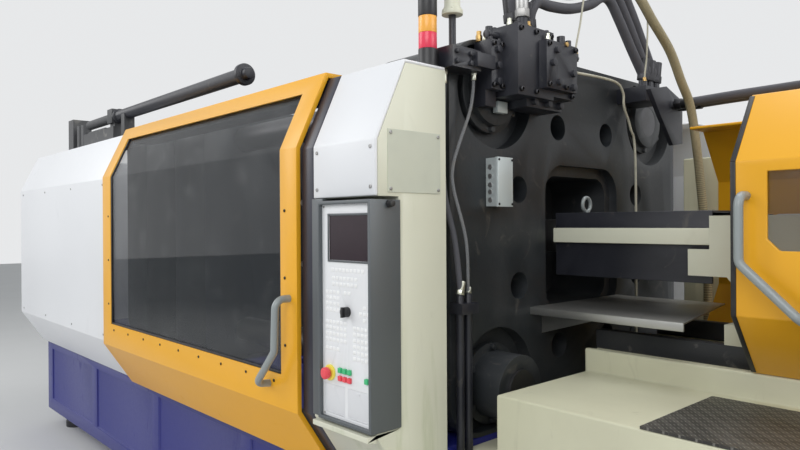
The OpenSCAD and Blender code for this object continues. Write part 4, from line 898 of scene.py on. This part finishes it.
@dataclass
class Hoses:
    """All hoses and cables round the fixed platen."""

    arch: tuple[tuple[float, float, float, float], ...] = (
        (-460, 2380.6, -1, 0), (-460, 2400, -1, 0), (-456, 2450, -1, 0.3),
        (-420, 2492, -0.6, 0.9), (-340, 2492, -0.1, 1), (-203, 2509, 0, 1), (-56, 2558, 0, 1),
        (30, 2606, 0, 1), (90, 2598, 0.5, 0.9), (158, 2525, 0.9, 0.5), (261, 2405, 1, 0.2),
        (330, 2325, 1, 0), (344, 2296, 1, 0), (344, 2275.6, 1, 0))
    pitch: float = 60.0
    near_x: float = 500.0
    set_over: float = 60.0
    braid: tuple[Point, ...] = (
        (570, -600, 2380.6), (570, -600, 2410), (571, -598, 2520), (585, -540, 2690),
        (620, -380, 2790), (670, -180, 2740), (725, -10, 2560), (740, 84, 2469),
        (740, 245, 2365), (740, 354, 2244), (740, 440, 2150), (743, 485, 2020),
        (748, 530, 1800), (750, 600, 1400), (750, 600, 1017.6))
    bundle: tuple[Point, ...] = (
        (634.6, 520, 2170), (700, 520, 2170), (1000, 520, 2176), (1500, 525, 2174),
        (1860, 560, 2130), (2080, 600, 1960), (2140, 640, 1500), (2140, 640, 1025.6))
    bundle_gap: float = 65.0
    drop: tuple[Point, ...] = (
        (470, -930, 2151.4), (470, -931, 2050), (465, -932, 1815), (472, -925, 1683),
        (478, -885, 1541), (480, -860, 1370), (480, -860, 1338.6))
    side: tuple[Point, ...] = (
        (505, -806, 2151.4), (504, -809, 2085), (501, -825, 2005), (494, -877, 1882),
        (488, -903, 1797), (490, -900, 1720), (502, -850, 1540), (480, -815, 1366),
        (480, -815, 1338.6))
    sensor: tuple[Point, ...] = (
        (500, -299.4, 2240), (501, -270, 2240), (508, -100, 2250), (505, 180, 2255),
        (500, 266, 2215), (495, 284, 2150), (485, 360, 2060), (478, 420, 1900),
        (478, 420, 1100), (478, 420, 760.5))
    grease: tuple[Point, ...] = (
        (590, -268, 2292.5), (590, -266, 2330), (592, -240, 2420), (600, -195, 2600),
        (606, -60, 2760), (608, 130, 2780), (606, 290, 2600), (600, 306, 2400),
        (588, 308, 2290), (588, 308, 2260.5))

    def arch_route(self, i: int) -> list[Point]:
        """Route of one of the three nested arches, as in the CAD model."""
        last = len(self.arch) - 3
        return [(self.near_x + self.set_over * min(max(k - 1, 0), last) / last,
                 y + self.pitch * i * across, z + self.pitch * i * up)
                for k, (y, z, across, up) in enumerate(self.arch)]

    def build(self) -> None:
        """Builds every run; together they stand for the CAD hoses."""
        thick = [(f"arch_hose_{i + 1}", self.arch_route(i)) for i in range(3)]
        thick += [(f"deck_hose_{i + 1}", [(x, y + i * self.bundle_gap, z)
                                          for x, y, z in self.bundle]) for i in range(2)]
        runs = [HoseRun(name, 0.022, route, 3, RUBBER, 1.15, BOLT) for name, route in thick]
        runs += [HoseRun("drop_hose", 0.011, self.drop, 4, RUBBER, 1.3, ZINC),
                 HoseRun("side_hose", 0.006, self.side, 3, WIRE, 1.7, ZINC),
                 HoseRun("braided_hose", 0.020, self.braid, 3, BRAIDED),
                 HoseRun("sensor_cable", 0.006, self.sensor, 4, CABLE, 0.0),
                 HoseRun("grease_line", 0.004, self.grease, 3, CABLE, 2.0, BRASS)]
        made = [run.build() for run in runs]
        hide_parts("hoses")


@dataclass
class Covers:
    """Bases, covers, housings and rails, with rounded folds and their screws."""

    face_y: float = 1.285
    post_x: tuple[float, ...] = (0.19, 0.484)
    post_z: tuple[float, ...] = (1.72, 1.85)
    seam_x: tuple[float, ...] = (-3.8, -3.2, -2.6, -2.0)
    seam_z: tuple[float, ...] = (0.95, 1.84)

    def build(self) -> None:
        """Builds the big sheet and welded parts."""
        refined("clamp_base", BLUE, 0.008)
        refined("injection_base", BASE_CREAM, 0.008, 3)
        refined("clamp_covers", WHITE, 0.004, 2, 20.0)
        refined("platen_cover", WHITE, 0.005, 3, 20.0)
        refined("side_housing", CREAM, 0.006, 3, 20.0)
        refined("rear_guards", ORANGE, 0.004, 2, 20.0)
        refined("gate_post", DARK, 0.004, 2, 20.0)
        refined("gate_rails", RAIL, 0.003)
        paint(BOLT, "levelling_feet")
        self._screws()

    def _screws(self) -> None:
        """Screws along the cover seams, low enough for the gate to pass over them."""
        post = [(x, -self.face_y, z) for x in self.post_x for z in self.post_z]
        front, rear = ([(x, y, z) for x in self.seam_x for z in self.seam_z]
                       for y in (-self.face_y, self.face_y))
        places = facing(FRONT, post + front) + facing(REAR, rear)
        dress(copies(pan_screw(*COVER_HEAD), places), "cover_screws", STEEL)


@dataclass
class NamePlate:
    """Bare plate on the end face of the housing, with the cable gland beside it."""

    face_x: float = 0.508
    low: tuple[float, float] = (-1.233, 1.702)
    high: tuple[float, float] = (-0.989, 1.910)
    thick: float = 0.0025
    inset: float = 0.012
    gland: tuple[float, float] = (-1.235, 1.665)

    def build(self) -> None:
        """Builds plate, screws and gland."""
        front = self.face_x + self.thick
        plate = block((self.face_x, *self.low), (front, *self.high), 0.001)
        dress(plate, "name_plate", PLATE)
        ys, zs = ((low + self.inset, high - self.inset) for low, high in zip(self.low, self.high))
        screws = facing(RIGHT, [(front, y, z) for y in ys for z in zs])
        dress(copies(pan_screw(*SHEET_HEAD), screws), "plate_screws", STEEL)
        gland = copies(hex_nut(0.014, 0.03), facing(RIGHT, [(self.face_x, *self.gland)]))
        dress(gland, "cable_gland", BLACK)


@dataclass
class SafetyGate:
    """Sliding gate: frame, pane, seal, handle and screws."""

    win_left: float = -1.808
    win_right: float = -0.018
    sill: float = 1.036
    fold: float = 1.874
    head: float = 2.100
    front: float = -1.307
    lip: tuple[float, float] = (0.003, 0.014)
    lip_w: float = 0.010
    screw_off: float = 0.03
    stile_z: tuple[float, ...] = (1.15, 1.4, 1.65)
    lean: float = 0.128 / 0.274
    handle: tuple[Point, ...] = (
        (0.040, -1.300, 1.326), (0.040, -1.367, 1.326), (0.030, -1.367, 1.134),
        (-0.097, -1.367, 0.998), (-0.102, -1.300, 0.990))

    def build(self) -> None:
        """Builds the gate's pieces on their sliding body."""
        refined("gate_frame", ORANGE, 0.004, 3, 20.0, "gate")
        paint(PANE, "gate_window")
        handle("gate_handle", self.handle, "gate")
        self._seal()
        self._screws()

    def _strip(self, x0: float, x1: float, z0: float, z1: float, slope: float = 0.0) -> Piece:
        """One strip of the lip."""
        near, far = (self.front + depth for depth in self.lip)
        return leaning_bar((x0, near, z0), (x1, far, z1), z0, slope)

    def _seal(self) -> None:
        """Dark rubber lip round the window."""
        strips = []
        for x in (self.win_left, self.win_right - self.lip_w):
            strips += [self._strip(x, x + self.lip_w, self.sill, self.fold),
                       self._strip(x, x + self.lip_w, self.fold, self.head, self.lean)]
        strips.append(self._strip(self.win_left, self.win_right, self.sill,
                                  self.sill + self.lip_w))
        piece = join(strips)
        smooth(piece)
        dress(piece, "window_seal", BLACK, "gate")

    def _screws(self) -> None:
        """Screws of the pane's clamping strip along sill and stiles."""
        count, inset, off = 9, 0.05, self.screw_off
        pitch = (self.win_right - self.win_left - 2 * inset) / (count - 1)
        spots = [(self.win_left + inset + i * pitch, self.front, self.sill - off)
                 for i in range(count)]
        spots += [(x, self.front, z) for x in (self.win_left - off, self.win_right + off)
                  for z in self.stile_z]
        piece = copies(pan_screw(*SHEET_HEAD), facing(FRONT, spots))
        dress(piece, "gate_screws", BOLT, "gate")


@dataclass
class ControlPanel:
    """Operator panel: housing, face, screen, keys, stop button and doors."""

    left: float = 0.231
    width: float = 0.285
    low: float = 0.930
    height: float = 0.748
    face_y: float = -1.302
    screen: tuple[float, float, float, float] = (0.283, 1.478, 0.208, 0.150)
    bezel: tuple[float, float] = (0.007, 0.003)
    screw_inset: tuple[float, float] = (0.022, 0.02)

    def build(self) -> None:
        """Builds the panel's pieces."""
        refined("panel_housing", PANEL, 0.005, 3)
        refined("panel_fascia", FASCIA, 0.0012)
        paint(SCREEN, "panel_screen")
        refined("panel_keys", KEYS, 0.0006, 1)
        caps = [(f"key_{word}_{i}", finish, slot) for word, finish, slot in (
            ("green", GREEN, "key_green"), ("red", RED, "button_red")) for i in (1, 2, 3)]
        for name, finish, slot in caps + [("key_single", GREEN, "key_green")]:
            refined(name, finish, 0.0018, 3, body=name + "_cap")
        refined("stop_collar", YELLOW, 0.0012, 3)
        refined("stop_button", RED, 0.003, 4, body="stop")
        refined("selector_knob", BLACK, 0.0012, body="selector")
        for side in ("left", "right"):
            refined(f"drive_door_{side}", DOOR, 0.001, body=f"{side}_door")
        self._bezel()
        self._screws()

    def _bezel(self) -> None:
        """Raised frame round the screen."""
        x0, z0, width, height = self.screen
        x1, z1 = x0 + width, z0 + height
        rim, out = self.bezel
        bars = ((x0 - rim, z0 - rim, x1 + rim, z0), (x0 - rim, z1, x1 + rim, z1 + rim),
                (x0 - rim, z0, x0, z1), (x1, z0, x1 + rim, z1))
        piece = join([block((left, self.face_y - out, low), (right, self.face_y, high), 0.001)
                      for left, low, right, high in bars])
        smooth(piece)
        dress(piece, "screen_bezel", PANEL)

    def _screws(self) -> None:
        """Screws in the corners of the panel face."""
        aside, up = self.screw_inset
        spots = [(x, self.face_y, z) for x in (self.left + aside, self.left + self.width - aside)
                 for z in (self.low + up, self.low + self.height - up)]
        dress(copies(pan_screw(*PANEL_HEAD), facing(FRONT, spots)), "face_screws", STEEL)


@dataclass
class Clamp:
    """Platens, tie bars, ram, ejector and the accumulator above the cover."""

    axis: float = 1.540
    platen_top: float = 2.300
    eyes: tuple[tuple[float, float], ...] = ((0.225, -0.45), (0.225, 0.62))
    eye_ring: tuple[float, float] = (0.032, 0.009)
    eye_lift: float = 0.047
    flange_x: float = -2.760
    flange_r: float = 0.332
    flange_screws: int = 12

    def build(self) -> None:
        """Builds the clamp's pieces."""
        refined("fixed_platen", IRON, 0.008, 3, 40.0)
        refined("rear_platen", IRON, 0.008, 2, 40.0)
        refined("moving_platen", IRON, 0.006, 2, 40.0, "clamp_unit")
        paint(BAR, "tie_bars")
        refined("tie_bar_nuts", IRON, 0.004, 2, 40.0)
        paint(IRON, "clamp_cylinder")
        paint(CHROME, "clamp_ram")
        paint(STEEL, "ejector_plate")
        refined("accumulator", BLOCK, 0.004, 2, 40.0)
        refined("accumulator_block", RAIL, 0.004, 2, 40.0)
        self._eye_bolts()
        self._cap_screws()

    def _eye_bolts(self) -> None:
        """Lifting eyes on the platen's top."""
        parts = []
        for x, y in self.eyes:
            parts += [ring((x, y, self.platen_top + self.eye_lift), *self.eye_ring, 36,
                           (math.pi / 2, 0.0, 0.0)),
                      copies(disc(0.02, 0.014, 24, 0.003), facing(UP, [(x, y, self.platen_top)]))]
        piece = join(parts)
        smooth(piece, 60.0)
        dress(piece, "lifting_eyes", BOLT)

    def _cap_screws(self) -> None:
        """Cap screws round the clamp cylinder flange."""
        r, step = self.flange_r, math.tau / self.flange_screws
        spots = [(self.flange_x, r * math.cos((i + 0.5) * step),
                  self.axis + r * math.sin((i + 0.5) * step)) for i in range(self.flange_screws)]
        dress(copies(socket_screw(*FLANGE_HEAD), facing(LEFT, spots)), "cylinder_screws", BOLT)


@dataclass
class PlatenFittings:
    """What is bolted to the injection side of the fixed platen."""

    box_side: tuple[float, float] = (0.472, -0.676)
    box_lid: float = 0.512
    junction: tuple[Point, Point] = ((0.4502, -0.632, 2.030), (0.476, -0.572, 2.074))
    valve_top: float = 2.345
    block_top: float = 2.285

    def build(self) -> None:
        """Builds valve blocks, lamp, guide rod, lift cylinder and terminal box."""
        refined("manifold", BLOCK, 0.003, 2, 40.0)
        refined("rod_block", BLOCK, 0.003, 2, 40.0)
        refined("air_cylinder", CREAM, 0.003, 2, 40.0, "lift_cylinder")
        refined("terminal_box", BOX, 0.003)
        refined("lamp_base", BLACK, 0.002, 2, 40.0)
        refined("lamp_red", RED_LENS, 0.0015, 2, 40.0)
        refined("lamp_amber", AMBER_LENS, 0.0015, 2, 40.0)
        self._box_screws()
        self._block_screws()
        self._unions()

    def _box_screws(self) -> None:
        """Lid screws and the knockouts in the side of the terminal box."""
        screws = [(self.box_lid, y, z) for y in (-0.672, -0.594) for z in (1.672, 1.842)]
        dress(copies(pan_screw(*BOX_HEAD), facing(RIGHT, screws)), "box_screws", BOLT)
        blanks = [(*self.box_side, z) for z in (1.815, 1.780, 1.746, 1.719, 1.688)]
        dress(copies(disc(0.010, 0.003, 24, 0.001), facing(FRONT, blanks)), "box_blanks", STEEL)

    def _block_screws(self) -> None:
        """Cap screws in the faces and tops of the valve blocks."""
        faces = [(0.600, y, z) for y, z in (
            (-0.648, 2.100), (-0.648, 2.328), (-0.556, 2.100), (-0.556, 2.328), (-0.460, 2.328),
            (-0.318, 2.108), (-0.318, 2.276))]
        faces += [(0.635, y, z) for y, z in (
            (-0.520, 2.130), (-0.520, 2.285), (-0.345, 2.285), (-0.410, 2.130))]
        faces += [(0.535, y, z) for y in (-0.728, -0.682) for z in (2.115, 2.270)]
        tops = [(x, y, self.valve_top) for x, y in (
            (0.580, -0.645), (0.470, -0.645), (0.580, -0.460))]
        tops += [(0.520, y, self.block_top) for y in (-0.728, -0.678)]
        dress(copies(socket_screw(*BLOCK_HEAD), facing(RIGHT, faces) + facing(UP, tops)),
              "block_screws", BOLT)

    def _unions(self) -> None:
        """Brass and zinc unions on the valve blocks, and a small junction box below."""
        brass = facing(UP, [(0.545, -0.530, self.valve_top), (0.470, -0.735, self.block_top)])
        brass += facing(RIGHT, [(0.600, -0.402, 2.300)])
        dress(copies(hex_nut(0.013, 0.040), brass), "block_fittings", BRASS)
        zinc = facing(UP, [(0.615, -0.500, 2.300), (0.545, -0.645, self.valve_top),
                           (0.470, -0.700, self.block_top), (0.495, -0.705, self.block_top)])
        dress(copies(hex_nut(0.011, 0.030), zinc), "block_unions", ZINC)
        box = block(*self.junction, 0.002)
        smooth(box)
        dress(box, "junction_box", BOX)


@dataclass
class Injection:
    """Injection carriage, barrel guard, deck and purge guard."""

    guard_front: float = -0.518
    strip_x: tuple[float, float] = (1.299, 1.315)
    strip_depth: tuple[float, float] = (-0.003, 0.004)
    strip_z: tuple[float, float, float, float] = (1.111, 1.309, 1.785, 2.006)
    lean_in: tuple[float, float] = (-0.163 / 0.202, 0.163 / 0.225)
    bar: tuple[Point, Point] = ((0.456, -0.243, 1.516), (1.119, -0.235, 1.577))
    eye: Point = (0.53, -0.10, 1.641)
    eye_ring: tuple[float, float] = (0.030, 0.008)
    eye_lift: float = 0.036
    handle: tuple[Point, ...] = (
        (1.345, -0.511, 1.678), (1.345, -0.578, 1.678), (1.345, -0.578, 1.476),
        (1.520, -0.578, 1.310), (1.523, -0.511, 1.307))

    def build(self) -> None:
        """Builds the injection side."""
        refined("purge_guard", ORANGE, 0.004, 3, 20.0, "purge_shield")
        paint(PANE, "purge_window")
        handle("purge_handle", self.handle, "purge_shield")
        refined("carriage", CREAM, 0.006, 3, 40.0, "injection_carriage")
        refined("barrel_guard", BLOCK, 0.003, body="injection_carriage")
        refined("crosshead", RAIL, 0.005, 2, 40.0, "injection_crosshead")
        refined("drip_tray", TRAY, 0.0015)
        refined("slide_rails", RAIL, 0.003)
        paint(TREAD, "step_plate")
        paint(STEEL, "barrel", "heater_bands", "hopper_lid")
        paint(CHROME, "screw", "hopper")
        self._guide_bar()
        self._eye()
        self._edge_strip()

    def _guide_bar(self) -> None:
        """Cream bar along the side of the barrel guard."""
        bar = block(*self.bar, 0.003, 3)
        smooth(bar)
        dress(bar, "guard_bar", CREAM, "injection_carriage")

    def _eye(self) -> None:
        """Ring screw on the roof of the barrel guard."""
        x, y, z = self.eye
        eye = ring((x, y, z + self.eye_lift), *self.eye_ring, 40, (0.0, math.pi / 2, 0.0))
        piece = join([eye, copies(disc(0.014, 0.01, 20, 0.002), facing(UP, [self.eye]))])
        smooth(piece, 60.0)
        dress(piece, "ring_screw", HANDLE, "injection_carriage")

    def _edge_strip(self) -> None:
        """Dark rubber strip down the left edge of the purge guard."""
        low, lower_fold, upper_fold, high = self.strip_z
        near, far = (self.guard_front + depth for depth in self.strip_depth)
        left, right = self.strip_x
        rows = ((lower_fold, upper_fold, 0.0, 0.0), (upper_fold, high, upper_fold, self.lean_in[1]),
                (low, lower_fold, lower_fold, self.lean_in[0]))
        strip = join([leaning_bar((left, near, z0), (right, far, z1), fold, slope)
                      for z0, z1, fold, slope in rows])
        smooth(strip)
        dress(strip, "edge_strip", BLACK, "purge_shield")


def main() -> None:
    """Builds the sub-assemblies in order."""
    logging.basicConfig(level=logging.INFO, format="%(name)s: %(message)s")
    for part in (Studio(), Hoses(), Covers(), NamePlate(), SafetyGate(), ControlPanel(),
                 Clamp(), PlatenFittings(), Injection()):
        part.build()
        log.info("built %s", type(part).__name__)
    deselect()


if __name__ == "__main__":
    main()
